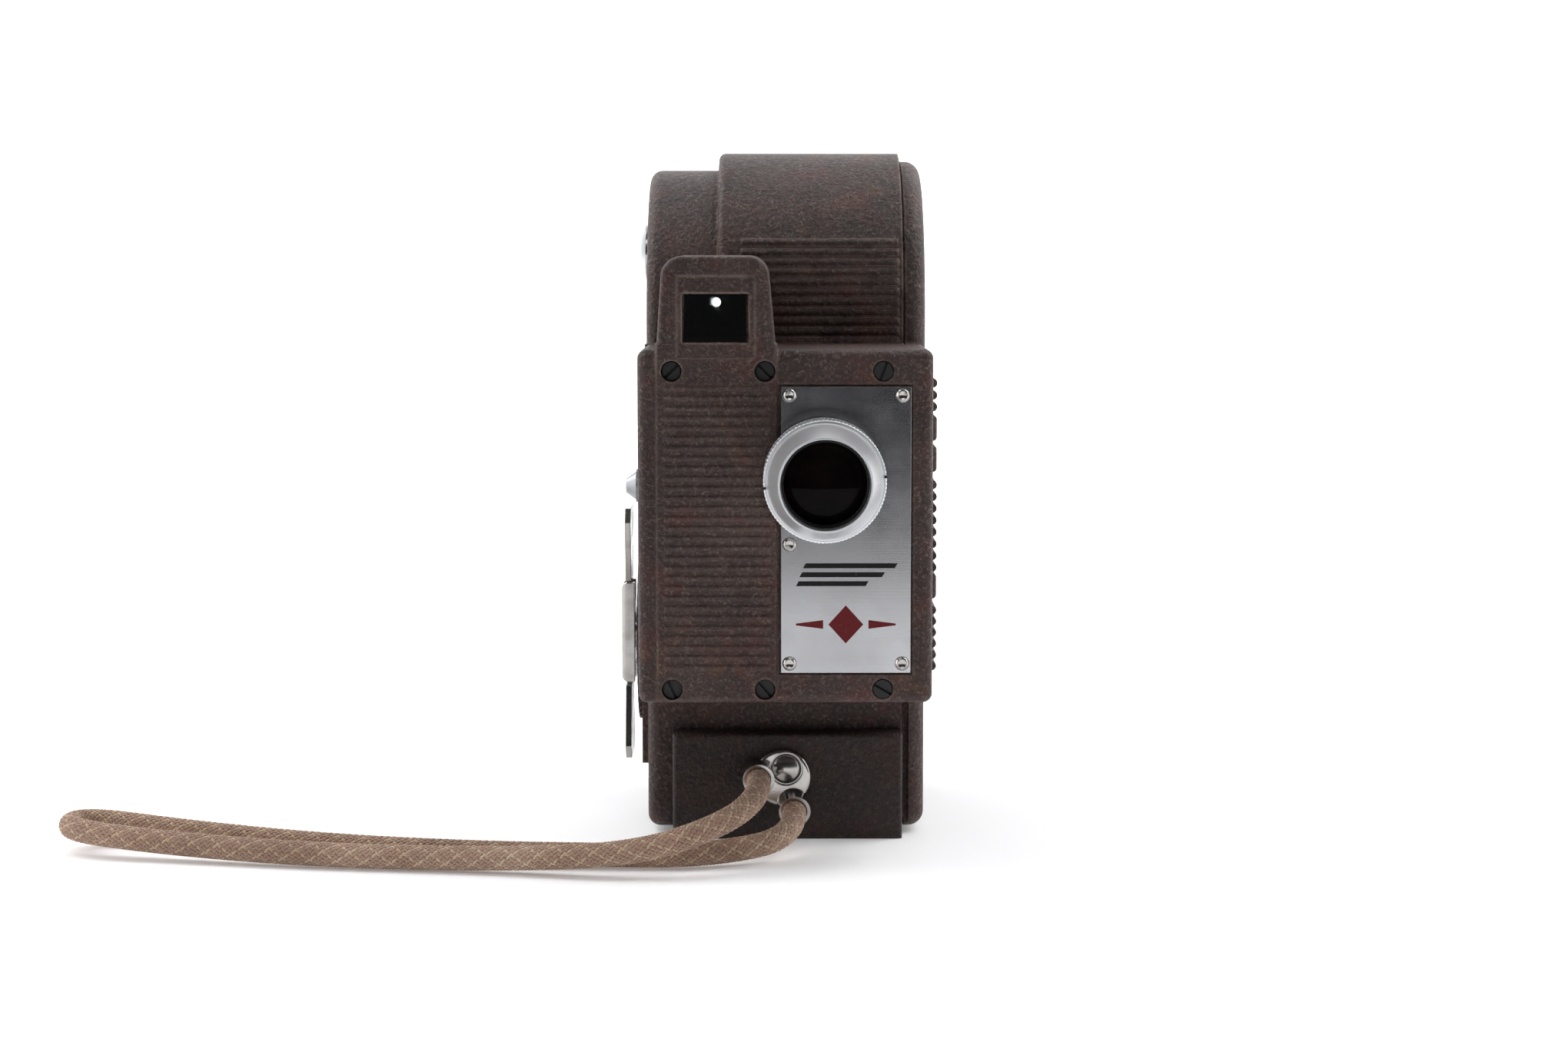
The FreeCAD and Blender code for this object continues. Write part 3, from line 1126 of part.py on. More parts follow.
def take_up_spindle():
    pinion = spur(TEETH_TAKE_UP, LAYER_FIRST, TAKE_UP, TAKE_UP_PHASE, WHEEL_T)
    shaft = Part.makeCylinder(3.0, DECK_X1 + 0.1 - LAYER_FIRST - 0.5, V(LAYER_FIRST + 0.5, *TAKE_UP), AX)
    flange = Part.makeCylinder(6.0, 0.75, V(DECK_X1 + 0.05, *TAKE_UP), AX)
    post = Part.makeCylinder(DIMS["spindle_radius"], 19.5, V(DECK_X1 + 0.05, *TAKE_UP), AX)
    return publish("take_up_spindle", feature("take_up_spindle_body", pinion.fuse(shaft).fuse(flange).fuse(post)))


ROLLERS = {"upper_roller": 81.0, "lower_roller": 50.0}
ROLLER_Y = -24.9


def film_rollers():
    for label, z in ROLLERS.items():
        tube = cyl(label + "_tube", (1.6, ROLLER_Y, z), AX, dim("roller_radius"), 16.4)
        relief = cyl(label + "_relief", (4.0, ROLLER_Y, z), AX, 2.6, 11.6)
        ring = cut(label + "_groove", cyl(label + "_sleeve", (4.0, ROLLER_Y, z), AX, 3.5, 11.6), [relief])
        bore = cyl(label + "_bore", (0, ROLLER_Y, z), AX, dim("staff_bore"), 20)
        publish(label, cut(label + "_cut", tube, [ring, bore]))
    posts = []
    for label, z in ROLLERS.items():
        posts.append(cyl(label + "_post", (DECK_X1, ROLLER_Y, z), AX, dim("staff_radius"), 17.9))
        posts.append(cyl(label + "_collar", (DECK_X1, ROLLER_Y, z), AX, 2.0, 0.7))
        posts.append(cyl(label + "_nut", (18.1, ROLLER_Y, z), AX, 2.0, 0.6))
    publish("roller_posts", fuse("roller_post_set", posts))


def gate_parts():
    """Film gate, sprung pressure plate, leaf spring and claw behind the lens."""
    y = DIMS["film_plane_y"]
    gate = block("gate_slab", (DECK_X1, 18.2), (y - 1.4, y - 0.1), (55.0, 77.2))
    frame = block("gate_frame", (LENS_X - 2.4, LENS_X + 2.4), (y - 3, y + 1), (LENS_Z - 1.75, LENS_Z + 1.75))
    slot = block("gate_claw_slot", (1.9, 3.3), (y - 3, y + 1), (60.0, 72.6))
    publish("film_gate", cut("gate", gate, [frame, slot]))
    plate = block("pressure_slab", (1.6, 17.8), (y + 0.2, y + 1.6), (58.0, 75.0))
    skid = block("pressure_slot", (1.7, 3.5), (y - 1, y + 3), (60.0, 72.6))
    publish("pressure_plate", cut("pressure", plate, [skid]))
    bracket = block("gate_bracket", (DECK_X1, 17.0), (y + 4.6, y + 5.4), (62.0, 71.0))
    leaf = block("gate_leaf", (7.0, 12.0), (y + 3.6, y + 4.6), (65.0, 68.0))
    publish("gate_spring", fuse("gate_spring_body", [bracket, leaf]))
    arm = block("claw_bar", (2.0, 3.2), (y - 3.0, y - 2.0), (60.2, 72.2))
    tip = block("claw_tip", (2.0, 3.2), (y - 2.1, y + 0.1), (70.6, 71.6))
    publish("claw_arm", fuse("claw", [arm, tip]))


# ---------------------------------------------------------------- door
def film_door():
    """Lift-off door: outer skin over a set-back lip, inner pocket, raised ribs and latch opening."""
    nose = (NECK_Y, CASE_Z0, CASE_Z1)
    skin_x = SEAM + 0.35
    crown_z = UPPER_Z - 1.5
    slab = padded("door_slab", "YZ_Plane", skin_x, body_outline(0.0, crown_z, nose), DOOR - skin_x)
    rounded = fillet("door_round", slab, 2.8, lambda e: e.BoundBox.XMin > DOOR - 0.01)
    lip_nose = (NECK_Y + 0.8, CASE_Z0 + 0.8, CASE_Z1 - 0.8)
    lip = padded("door_lip", "YZ_Plane", SEAM + 0.02, body_outline(0.8, crown_z, lip_nose), 0.5)
    pocket = padded("door_pocket", "YZ_Plane", SEAM - 1, body_outline(3.3, crown_z), 2.9)
    hole = cyl("door_latch_hole", (SEAM, SPOOL_Y, 63.6), AX, 2.05, 6)
    rebate = block("door_foot_rebate", (SEAM - 1, 22.5), (-11.0, -8.8), (0, CASE_Z0))
    ribs = []
    for i in range(6):
        for side in (-1, 1):
            ribs.append(cyl("door_rib_%d_%d" % (i, side + 1),
                            (DOOR, SPOOL_Y - 15.0, 63.6 + side * (11.0 + 2.6 * i)), AY, 0.6, 30.0))
    return publish("film_door", cut("door", fuse("door_body", [rounded, lip] + ribs), [pocket, hole, rebate]))


def door_latch():
    disc = cyl("latch_disc", (DOOR + 0.1, SPOOL_Y, 63.6), AX, dim("latch_knob_radius"), 0.9)
    grip = block("latch_grip", (DOOR + 0.6, DOOR + 2.6), (SPOOL_Y - 1.4, SPOOL_Y + 1.4), (57.6, 69.6))
    shaft = cyl("latch_shaft", (23.15, SPOOL_Y, 63.6), AX, 2.0, DOOR + 0.3 - 23.15)
    publish("door_latch_knob", fuse("latch_knob_body", [disc, grip, shaft]))
    bar = block("latch_bar_body", (21.9, 23.15), (SPOOL_Y - 3.5, SPOOL_Y + 3.5), (40.0, 87.2))
    publish("door_latch_bar", fillet("latch_bar_round", bar, 2.5,
                                     lambda e: e.BoundBox.XLength > 1 and e.BoundBox.YLength < 0.1
                                     and e.BoundBox.ZLength < 0.1))


# ---------------------------------------------------------------- build
def build():
    main_housing()
    front_casing()
    casing_screws()
    lens_plate()
    plate_rivets()
    lens_mount_ring()
    lens_barrel()
    aperture_ring()
    lens_bezel()
    glass("front_lens", -52.6, -51.45, 7.0, 0.9)
    glass("rear_lens", -42.0, -40.6, 4.5, 0.7)
    iris()
    finder_parts()
    foot_block()
    tripod_bush()
    strap_plate()
    strap_screw()
    wrist_cord()
    key_escutcheon()
    key_hub()
    key_wing("key_wing_upper", 1)
    key_wing("key_wing_lower", -1)
    key_pins()
    winding_arbor()
    ratchet_wheel()
    click_pawl()
    pawl_post()
    footage_counter()
    speed_knob()
    release_button()
    release_spring()
    spring_barrel()
    mainspring()
    first_wheel()
    idler_wheel()
    drive_shaft()
    governor()
    shutter_shaft()
    shutter_disc()
    mechanism_plate()
    deck_screws()
    spool("supply_spool", SUPPLY)
    spool("take_up_spool", TAKE_UP)
    supply_spindle()
    take_up_spindle()
    film_rollers()
    gate_parts()
    film_door()
    door_latch()


def write_parts():
    doc.recompute()
    os.makedirs("parts", exist_ok=True)
    for obj in doc.Objects:
        if "Invalid" in obj.State or "Error" in obj.State:
            raise RuntimeError("%s does not build: %s" % (obj.Name, obj.State))
    bad = [obj.Label for obj in NODES if obj.Shape.isNull() or not obj.Shape.isValid()]
    if bad:
        raise RuntimeError("no valid shape: " + ", ".join(bad))
    for obj in NODES:
        obj.Shape.exportStep("parts/%s.step" % obj.Label)
        print("%-24s solids %d volume %.1f" % (obj.Label, len(obj.Shape.Solids), obj.Shape.Volume))
    print("nodes %d, first %s, idler %s, governor %s" % (len(NODES), FIRST, IDLER, GOVERNOR))


build()
write_parts()
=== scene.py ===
import math

import bpy
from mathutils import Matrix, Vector


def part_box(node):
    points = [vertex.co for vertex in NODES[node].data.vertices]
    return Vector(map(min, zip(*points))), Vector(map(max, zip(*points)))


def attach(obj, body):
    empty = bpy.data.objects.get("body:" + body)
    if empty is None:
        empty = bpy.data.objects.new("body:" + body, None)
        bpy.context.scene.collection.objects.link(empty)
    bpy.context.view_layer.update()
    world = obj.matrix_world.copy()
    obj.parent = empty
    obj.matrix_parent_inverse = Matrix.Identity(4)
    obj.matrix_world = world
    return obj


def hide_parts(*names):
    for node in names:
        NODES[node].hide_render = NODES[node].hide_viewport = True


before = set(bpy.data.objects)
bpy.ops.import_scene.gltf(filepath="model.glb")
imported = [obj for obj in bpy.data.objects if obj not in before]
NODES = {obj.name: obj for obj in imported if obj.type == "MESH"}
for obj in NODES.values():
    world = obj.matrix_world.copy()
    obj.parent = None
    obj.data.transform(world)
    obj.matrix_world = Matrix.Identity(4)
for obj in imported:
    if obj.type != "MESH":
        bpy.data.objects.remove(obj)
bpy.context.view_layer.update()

MM = 0.001


# ------------------------------------------------------------ small helpers
def lin(r, g, b):
    """Linear colour from sRGB numbers up to 255."""
    def one(c):
        c /= 255
        return c / 12.92 if c <= 0.04045 else ((c + 0.055) / 1.055) ** 2.4
    return (one(r), one(g), one(b), 1.0)


class Graph:
    """A material being wired up."""

    def __init__(self, name):
        self.mat = bpy.data.materials.new(name)
        self.mat.use_nodes = True
        self.tree = self.mat.node_tree
        self.shader = next(n for n in self.tree.nodes if n.type == "BSDF_PRINCIPLED")
        self.coords = self.tree.nodes.new("ShaderNodeTexCoord").outputs["Object"]

    def add(self, kind, **values):
        node = self.tree.nodes.new("ShaderNode" + kind)
        for key, value in values.items():
            setattr(node, key, value)
        return node

    def link(self, a, b):
        self.tree.links.new(a, b)

    def set(self, **values):
        for key, value in values.items():
            self.shader.inputs[key.replace("_", " ")].default_value = value

    def stretched(self, scale):
        node = self.add("Mapping")
        node.inputs["Scale"].default_value = scale
        self.link(self.coords, node.inputs["Vector"])
        return node.outputs["Vector"]

    def noise(self, scale, detail=3.0, rough=0.55, vector=None, distortion=0.0):
        node = self.add("TexNoise")
        node.inputs["Scale"].default_value = scale
        node.inputs["Detail"].default_value = detail
        node.inputs["Roughness"].default_value = rough
        node.inputs["Distortion"].default_value = distortion
        self.link(vector if vector is not None else self.coords, node.inputs["Vector"])
        return node.outputs["Fac"]

    def voronoi(self, scale, feature="F1", vector=None):
        node = self.add("TexVoronoi", feature=feature)
        node.inputs["Scale"].default_value = scale
        self.link(vector if vector is not None else self.coords, node.inputs["Vector"])
        return node.outputs["Distance"]

    def ramp(self, fac, stops):
        node = self.add("ValToRGB")
        elements = node.color_ramp.elements
        while len(elements) < len(stops):
            elements.new(0.5)
        for element, (place, colour) in zip(elements, stops):
            element.position = place
            element.color = colour if len(colour) == 4 else (*colour, 1.0)
        self.link(fac, node.inputs["Fac"])
        return node.outputs["Color"]

    def grey(self, fac, low, high, v0=0.0, v1=1.0):
        return self.ramp(fac, [(low, (v0, v0, v0)), (high, (v1, v1, v1))])

    def mix(self, fac, a, b, mode="MIX"):
        node = self.add("Mix", data_type="RGBA", blend_type=mode)
        for value, socket in ((fac, node.inputs[0]), (a, node.inputs[6]), (b, node.inputs[7])):
            if isinstance(value, (int, float, tuple)):
                socket.default_value = value
            else:
                self.link(value, socket)
        return node.outputs[2]

    def math(self, operation, a, b=0.0):
        node = self.add("Math", operation=operation)
        for value, socket in ((a, node.inputs[0]), (b, node.inputs[1])):
            if isinstance(value, (int, float)):
                socket.default_value = value
            else:
                self.link(value, socket)
        return node.outputs[0]

    def soft_edge(self, radius):
        node = self.add("Bevel", samples=4)
        node.inputs["Radius"].default_value = radius
        return node.outputs["Normal"]

    def edge_mask(self, radius, low, high):
        """One along the convex edges that hands would rub, nought on flat ground."""
        dot = self.add("VectorMath", operation="DOT_PRODUCT")
        self.link(self.soft_edge(radius), dot.inputs[0])
        self.link(self.add("NewGeometry").outputs["True Normal"], dot.inputs[1])
        turned = self.math("SUBTRACT", 1.0, dot.outputs["Value"])
        return self.grey(turned, low, high)

    def bump(self, height, distance, strength=1.0, normal=None):
        node = self.add("Bump")
        node.inputs["Strength"].default_value = strength
        node.inputs["Distance"].default_value = distance
        self.link(height, node.inputs["Height"])
        if normal is not None:
            self.link(normal, node.inputs["Normal"])
        return node.outputs["Normal"]

    def finish(self, colour=None, roughness=None, normal=None):
        for value, name in ((colour, "Base Color"), (roughness, "Roughness"), (normal, "Normal")):
            if value is not None:
                self.link(value, self.shader.inputs[name])
        return self.mat


# ------------------------------------------------------------ camera first
EYE = Vector((-3.48, -549.3, 108.9)) * MM
LOOK_AT = Vector((-0.2, 0.0, 56.4)) * MM
LENS_MM = 68.4


def make_camera():
    data = bpy.data.cameras.new("camera")
    data.sensor_width = 36.0
    data.lens = LENS_MM
    data.clip_start = 0.01
    data.clip_end = 50.0
    cam = bpy.data.objects.new("camera", data)
    cam.location = EYE
    cam.rotation_mode = "QUATERNION"
    cam.rotation_quaternion = (LOOK_AT - EYE).to_track_quat("-Z", "Y")
    bpy.context.collection.objects.link(cam)
    bpy.context.scene.camera = cam


make_camera()
bpy.context.scene.view_settings.view_transform = "Standard"


# ------------------------------------------------------------ mesh helpers
def new_mesh(name, verts, faces, smooth=True):
    mesh = bpy.data.meshes.new(name)
    mesh.from_pydata(verts, [], faces)
    mesh.update()
    if smooth:
        mesh.polygons.foreach_set("use_smooth", [True] * len(mesh.polygons))
    obj = bpy.data.objects.new(name, mesh)
    bpy.context.collection.objects.link(obj)
    return obj


def prism(outline, y0, y1):
    """Closed solid from an outline in the X-Z plane between two depths."""
    count = len(outline)
    verts = [(x, y0, z) for x, z in outline] + [(x, y1, z) for x, z in outline]
    faces = [tuple(range(count)), tuple(reversed(range(count, 2 * count)))]
    faces += [(i, i + count, (i + 1) % count + count, (i + 1) % count) for i in range(count)]
    return verts, faces


def joined(parts):
    verts = []
    faces = []
    for part_verts, part_faces in parts:
        base = len(verts)
        verts += part_verts
        faces += [tuple(i + base for i in face) for face in part_faces]
    return verts, faces


# ------------------------------------------------------------ wrist cord
CORD_ROUTE = [Vector(p) * MM for p in (
    (-5.2, -17.2, 12.0), (-4.0, -29.5, 11.4), (-10.5, -44.0, 8.4), (-26.5, -49.6, 4.2),
    (-52.0, -43.6, 2.3), (-82.0, -39.8, 2.3), (-108.0, -33.4, 3.0), (-128.4, -28.4, 4.6),
    (-126.7, -17.8, 4.6), (-106.5, -23.0, 3.0), (-82.0, -31.4, 2.35), (-56.0, -37.9, 2.3),
    (-33.0, -40.2, 2.3), (-13.0, -40.6, 2.3), (2.4, -32.5, 4.0), (1.4, -17.2, 6.6),
)]


def route_line(points):
    """The smooth line of the cord: a NURBS spline with the route as its control points."""
    data = bpy.data.curves.new("cord_route", "CURVE")
    data.dimensions = "3D"
    data.resolution_u = 32
    spline = data.splines.new("NURBS")
    spline.points.add(len(points) - 1)
    for place, point in zip(spline.points, points):
        place.co = (*point, 1.0)
    spline.order_u = 3
    spline.use_endpoint_u = True
    obj = bpy.data.objects.new("cord_route", data)
    bpy.context.collection.objects.link(obj)
    graph = bpy.context.evaluated_depsgraph_get()
    mesh = bpy.data.meshes.new_from_object(obj.evaluated_get(graph))
    line = [v.co.copy() for v in mesh.vertices]
    bpy.data.objects.remove(obj)
    bpy.data.meshes.remove(mesh)
    return line


def evenly(line, step):
    """The line read at equal distances along it, and its length."""
    reach = [0.0]
    for a, b in zip(line, line[1:]):
        reach.append(reach[-1] + (b - a).length)
    count = round(reach[-1] / step)
    out = []
    index = 0
    for i in range(count + 1):
        want = reach[-1] * i / count
        while index < len(reach) - 2 and reach[index + 1] < want:
            index += 1
        span = reach[index + 1] - reach[index]
        share = (want - reach[index]) / span if span else 0.0
        out.append(line[index].lerp(line[index + 1], share))
    return out, reach[-1]


def frames_along(points):
    """Two cross directions at each point, carried along without twist."""
    side = Vector((0, 0, 1))
    out = []
    for i, point in enumerate(points):
        ahead = (points[min(i + 1, len(points) - 1)] - points[max(i - 1, 0)]).normalized()
        side = (side - ahead * side.dot(ahead)).normalized()
        out.append((side.copy(), ahead.cross(side)))
    return out


CORE_RADIUS = 1.8 * MM
YARN_WAY = 16
CROSSING = 0.6 * MM
BRAID_PITCH = CROSSING * 2 * YARN_WAY
YARN_REACH = 1.94 * MM
YARN_SWAY = 0.1 * MM
YARN_HALF_WIDTH = 0.36 * MM
YARN_HALF_THICK = 0.14 * MM
YARN_SECTION = 4
LIGHT_YARN = 4


def tube_part(points, frames, radius, sides):
    verts = []
    for point, (u, v) in zip(points, frames):
        for k in range(sides):
            turn = 2 * math.pi * k / sides
            verts.append(tuple(point + (u * math.cos(turn) + v * math.sin(turn)) * radius))
    faces = []
    for i in range(len(points) - 1):
        for k in range(sides):
            a = i * sides + k
            b = i * sides + (k + 1) % sides
            faces.append((a, b, b + sides, a + sides))
    last = (len(points) - 1) * sides
    faces.append(tuple(reversed(range(sides))))
    faces.append(tuple(range(last, last + sides)))
    return verts, faces


def yarn_part(points, frames, step, index, way):
    """One flat yarn of the braid, passing over one and under one of the others."""
    verts = []
    start = 2 * math.pi * index / YARN_WAY
    for i, (point, (u, v)) in enumerate(zip(points, frames)):
        travel = i * step / BRAID_PITCH
        turn = start + way * 2 * math.pi * travel
        crossing = 2 * index + way * 2 * YARN_WAY * travel
        reach = YARN_REACH + way * YARN_SWAY * math.cos(math.pi * crossing)
        out = u * math.cos(turn) + v * math.sin(turn)
        round_way = v * math.cos(turn) - u * math.sin(turn)
        for k in range(YARN_SECTION):
            angle = 2 * math.pi * k / YARN_SECTION
            verts.append(tuple(point + out * (reach + YARN_HALF_THICK * math.sin(angle))
                               + round_way * (YARN_HALF_WIDTH * math.cos(angle))))
    faces = []
    for i in range(len(points) - 1):
        for k in range(YARN_SECTION):
            a = i * YARN_SECTION + k
            b = i * YARN_SECTION + (k + 1) % YARN_SECTION
            faces.append((a, b, b + YARN_SECTION, a + YARN_SECTION))
    return verts, faces


def cord_material(name, dark, mid, light):
    g = Graph(name)
    patches = g.noise(55.0, 3.0)
    fibres = g.noise(5200.0, 2.0)
    base = g.ramp(patches, [(0.3, dark), (0.52, mid), (0.75, light)])
    colour = g.mix(g.grey(fibres, 0.4, 0.7, 0.0, 0.3), base, lin(96, 72, 60))
    g.set(Roughness=0.85, Sheen_Weight=0.25, Sheen_Roughness=0.5)
    return g.finish(colour, None, g.bump(fibres, 0.00008, 0.7))


def make_cord():
    points, length = evenly(route_line(CORD_ROUTE), CROSSING / 2)
    step = length / (len(points) - 1)
    frames = frames_along(points)
    parts = [tube_part(points, frames, CORE_RADIUS, 12)]
    counts = [len(parts[0][1])]
    for way in (-1, 1):
        for i in range(YARN_WAY):
            parts.append(yarn_part(points, frames, step, i, way))
            counts.append(len(parts[-1][1]))
    verts, faces = joined(parts)
    obj = new_mesh("braided_cord", verts, faces)
    # The core's dark brown is painted shade, so the gaps between the yarns read dark.
    for name, dark, mid, light in (
            ("cord_core_painted_shade", (52, 36, 30), (66, 47, 40), (80, 58, 49)),
            ("cord_yarn_a", (152, 120, 101), (176, 143, 122), (194, 163, 142)),
            ("cord_yarn_b", (180, 152, 124), (204, 177, 148), (220, 196, 168))):
        obj.data.materials.append(cord_material(name, lin(*dark), lin(*mid), lin(*light)))
    index = []
    for part, count in enumerate(counts):
        index += [0 if part == 0 else 2 if part % LIGHT_YARN == 1 else 1] * count
    obj.data.polygons.foreach_set("material_index", index)
    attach(obj, "housing")
    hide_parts("wrist_cord")


make_cord()


# ------------------------------------------------------------ materials
# Heights where edge lightening rises from 0.3 to full: partly worn paint, partly painted highlight on the
# upper edges.
WEAR_AND_HIGHLIGHT_FROM_Z = 0.083
WEAR_AND_HIGHLIGHT_FULL_Z = 0.091


def crinkle_paint(name, shade, lit, red, rust, wear_and_highlight, grain=1500.0):
    """Baked crinkle enamel: fine worms of paint, patchy colour, worn edges lighter, more so near the top
    as painted highlight.
    """
    g = Graph(name)
    patches = g.noise(70.0, 4.0, 0.6)
    blush = g.noise(160.0, 4.0, 0.65)
    worms = g.noise(grain, 2.5, 0.6, distortion=1.2)
    cells = g.voronoi(grain * 0.9, "SMOOTH_F1")
    base = g.mix(g.grey(patches, 0.35, 0.65), shade, lit)
    base = g.mix(g.grey(blush, 0.5, 0.72, 0.0, 0.7), base, red)
    base = g.mix(g.grey(g.noise(110.0, 5.0, 0.7, distortion=0.6), 0.56, 0.74, 0.0, 0.6), base, rust)
    base = g.mix(g.grey(worms, 0.52, 0.7, 0.0, 0.35), base, wear_and_highlight)
    height_z = g.add("SeparateXYZ")
    g.link(g.coords, height_z.inputs[0])
    # Edge lightening grows with height: worn edges below, with painted highlight added on the upper edges.
    wear_and_highlight_by_height = g.add("MapRange")
    wear_and_highlight_by_height.inputs["From Min"].default_value = WEAR_AND_HIGHLIGHT_FROM_Z
    wear_and_highlight_by_height.inputs["From Max"].default_value = WEAR_AND_HIGHLIGHT_FULL_Z
    wear_and_highlight_by_height.inputs["To Min"].default_value = 0.3
    g.link(height_z.outputs["Z"], wear_and_highlight_by_height.inputs["Value"])
    patchy = g.math("MULTIPLY", g.grey(g.noise(240.0, 4.0), 0.28, 0.56), wear_and_highlight_by_height.outputs["Result"])
    worn_and_highlit_edges = g.math("MULTIPLY", g.edge_mask(0.0009, 0.02, 0.2), patchy)
    base = g.mix(worn_and_highlit_edges, base, wear_and_highlight)
    height = g.math("ADD", worms, g.math("MULTIPLY", cells, 0.6))
    rough = g.grey(worms, 0.3, 0.75, 0.58, 0.38)
    g.set(Specular_IOR_Level=0.38)
    return g.finish(base, rough, g.bump(height, 0.00035, 0.75, g.soft_edge(0.00035)))


BRUSH_ALONG = 20.0
BRUSH_ACROSS = 7000.0


def brushed_metal(name, colour, along, rough0, rough1, scratch=0.00002, marks=0.1):
    """Metal with fine lines along one axis and a few handling marks."""
    g = Graph(name)
    scale = tuple(BRUSH_ALONG if axis == along else BRUSH_ACROSS for axis in "XYZ")
    lines = g.noise(1.0, 3.0, 0.6, vector=g.stretched(scale))
    smears = g.noise(90.0, 3.0)
    nicks = g.voronoi(420.0, "DISTANCE_TO_EDGE", vector=g.stretched((1.0, 1.0, 2.5)))
    tone = g.mix(g.grey(smears, 0.35, 0.7, 0.0, 0.25), colour, tuple(c * 0.8 for c in colour[:3]) + (1.0,))
    tone = g.mix(g.grey(nicks, 0.0, 0.015, marks, 0.0), tone, lin(235, 235, 235))
    g.set(Metallic=1.0)
    rough = g.math("ADD", g.grey(lines, 0.25, 0.75, rough0, rough1), g.grey(smears, 0.4, 0.8, 0.0, 0.08))
    return g.finish(tone, rough, g.bump(lines, scratch, 0.6, g.soft_edge(0.00018)))


def turned_metal(name, colour, rough0, rough1):
    """Lathe-turned alloy whose sheen fans out across the fine rings of the cut."""
    g = Graph(name)
    smears = g.noise(160.0, 4.0)
    rings = g.noise(1.0, 3.0, 0.6, vector=g.stretched((30.0, 9000.0, 30.0)))
    tone = g.mix(g.grey(smears, 0.4, 0.75, 0.0, 0.3), colour, tuple(c * 0.8 for c in colour[:3]) + (1.0,))
    g.set(Metallic=0.75, Anisotropic=0.75)
    g.link(g.add("Tangent", direction_type="RADIAL", axis="Y").outputs[0], g.shader.inputs["Tangent"])
    return g.finish(tone, g.grey(rings, 0.25, 0.75, rough0, rough1),
                    g.bump(rings, 0.000006, 0.5, g.soft_edge(0.00018)))


def plated(name, colour, rough=0.09):
    """Bright plating with light pitting and finger haze."""
    g = Graph(name)
    haze = g.noise(300.0, 4.0)
    pits = g.noise(2600.0, 2.0)
    tone = g.mix(g.grey(haze, 0.5, 0.8, 0.0, 0.3), colour, lin(120, 118, 114))
    g.set(Metallic=1.0)
    return g.finish(tone, g.grey(haze, 0.3, 0.8, rough, rough + 0.16),
                    g.bump(pits, 0.00002, 0.35, g.soft_edge(0.00025)))


def dull_black(name, colour, rough=0.5):
    g = Graph(name)
    dust = g.noise(700.0, 4.0)
    tone = g.mix(g.grey(dust, 0.5, 0.75, 0.0, 0.3), colour, lin(48, 46, 44))
    return g.finish(tone, g.grey(dust, 0.3, 0.8, rough, rough + 0.2),
                    g.bump(dust, 0.00004, 0.4, g.soft_edge(0.00015)))


def clear_glass(name, tint, rough=0.01):
    """Clear optical glass with a faint film of dust."""
    g = Graph(name)
    dust = g.noise(500.0, 4.0)
    g.set(Transmission_Weight=1.0, IOR=1.5, Coat_Weight=0.4, Coat_Tint=tint)
    return g.finish(g.mix(g.grey(dust, 0.55, 0.8, 0.0, 0.12), lin(250, 252, 252), lin(214, 212, 208)),
                    g.grey(dust, 0.5, 0.85, rough, rough + 0.12))


def lens_glass_painted_dark(name):
    """Taking lens glass made opaque and near-black as painted shade for the dark inside of the lens, with
    a faint warm bloom on the surface.
    """
    g = Graph(name)
    bloom = g.noise(260.0, 2.0)
    g.set(IOR=1.45, Specular_IOR_Level=0.05)
    # The near-black base colour is painted shade: with no transmission, the dark barrel behind the glass
    # is painted onto it.
    return g.finish(g.mix(g.grey(bloom, 0.4, 0.7), lin(10, 7, 7), lin(17, 12, 11)),
                    g.grey(bloom, 0.5, 0.8, 0.03, 0.09))


BROWN = crinkle_paint("brown_crinkle", lin(44, 31, 28), lin(62, 46, 42), lin(76, 34, 30), lin(90, 55, 34),
                      lin(140, 122, 112))
DARK = crinkle_paint("dark_crinkle", lin(32, 23, 21), lin(45, 34, 31), lin(56, 27, 24), lin(58, 36, 27),
                     lin(92, 78, 70), 1700.0)
SATIN = brushed_metal("satin_plate", lin(180, 180, 182), "X", 0.15, 0.18, scratch=0.000003, marks=0.0)
ALLOY = turned_metal("lens_alloy", lin(228, 229, 231), 0.3, 0.36)
CHROME = plated("bright_chrome", lin(172, 172, 174), 0.14)
AGED_CHROME = plated("aged_chrome", lin(178, 175, 172), 0.12)
WORN_CHROME = plated("worn_chrome", lin(166, 163, 160), 0.14)
BLACK = dull_black("black_finish", lin(12, 12, 12))
SOOT = dull_black("inner_black", lin(9, 9, 9), 0.8)
STEEL = brushed_metal("grey_steel", lin(150, 150, 154), "X", 0.28, 0.42)
BLUED = brushed_metal("blued_steel", lin(60, 66, 92), "Z", 0.22, 0.34)
BRASS = brushed_metal("yellow_brass", lin(196, 160, 92), "Z", 0.24, 0.38)
CLEAR = clear_glass("clear_glass", (1.0, 1.0, 1.0, 1.0))
LENS_GLASS_PAINTED_DARK = lens_glass_painted_dark("lens_glass_painted_dark")


def dial_material():
    g = Graph("dial_enamel")
    age = g.noise(380.0, 4.0)
    return g.finish(g.mix(g.grey(age, 0.4, 0.75, 0.0, 0.6), lin(222, 216, 198), lin(184, 168, 132)),
                    g.grey(age, 0.3, 0.8, 0.45, 0.65), g.bump(age, 0.00003, 0.4))


DIAL = dial_material()


def ink(name, colour):
    g = Graph(name)
    worn = g.noise(800.0, 4.0)
    g.set(Specular_IOR_Level=0.25)
    return g.finish(g.mix(g.grey(worn, 0.62, 0.85, 0.0, 0.3), colour, lin(104, 102, 100)),
                    g.grey(worn, 0.3, 0.8, 0.35, 0.6))


BLACK_INK = ink("black_ink", lin(9, 8, 8))
RED_INK = ink("red_ink", lin(96, 14, 18))

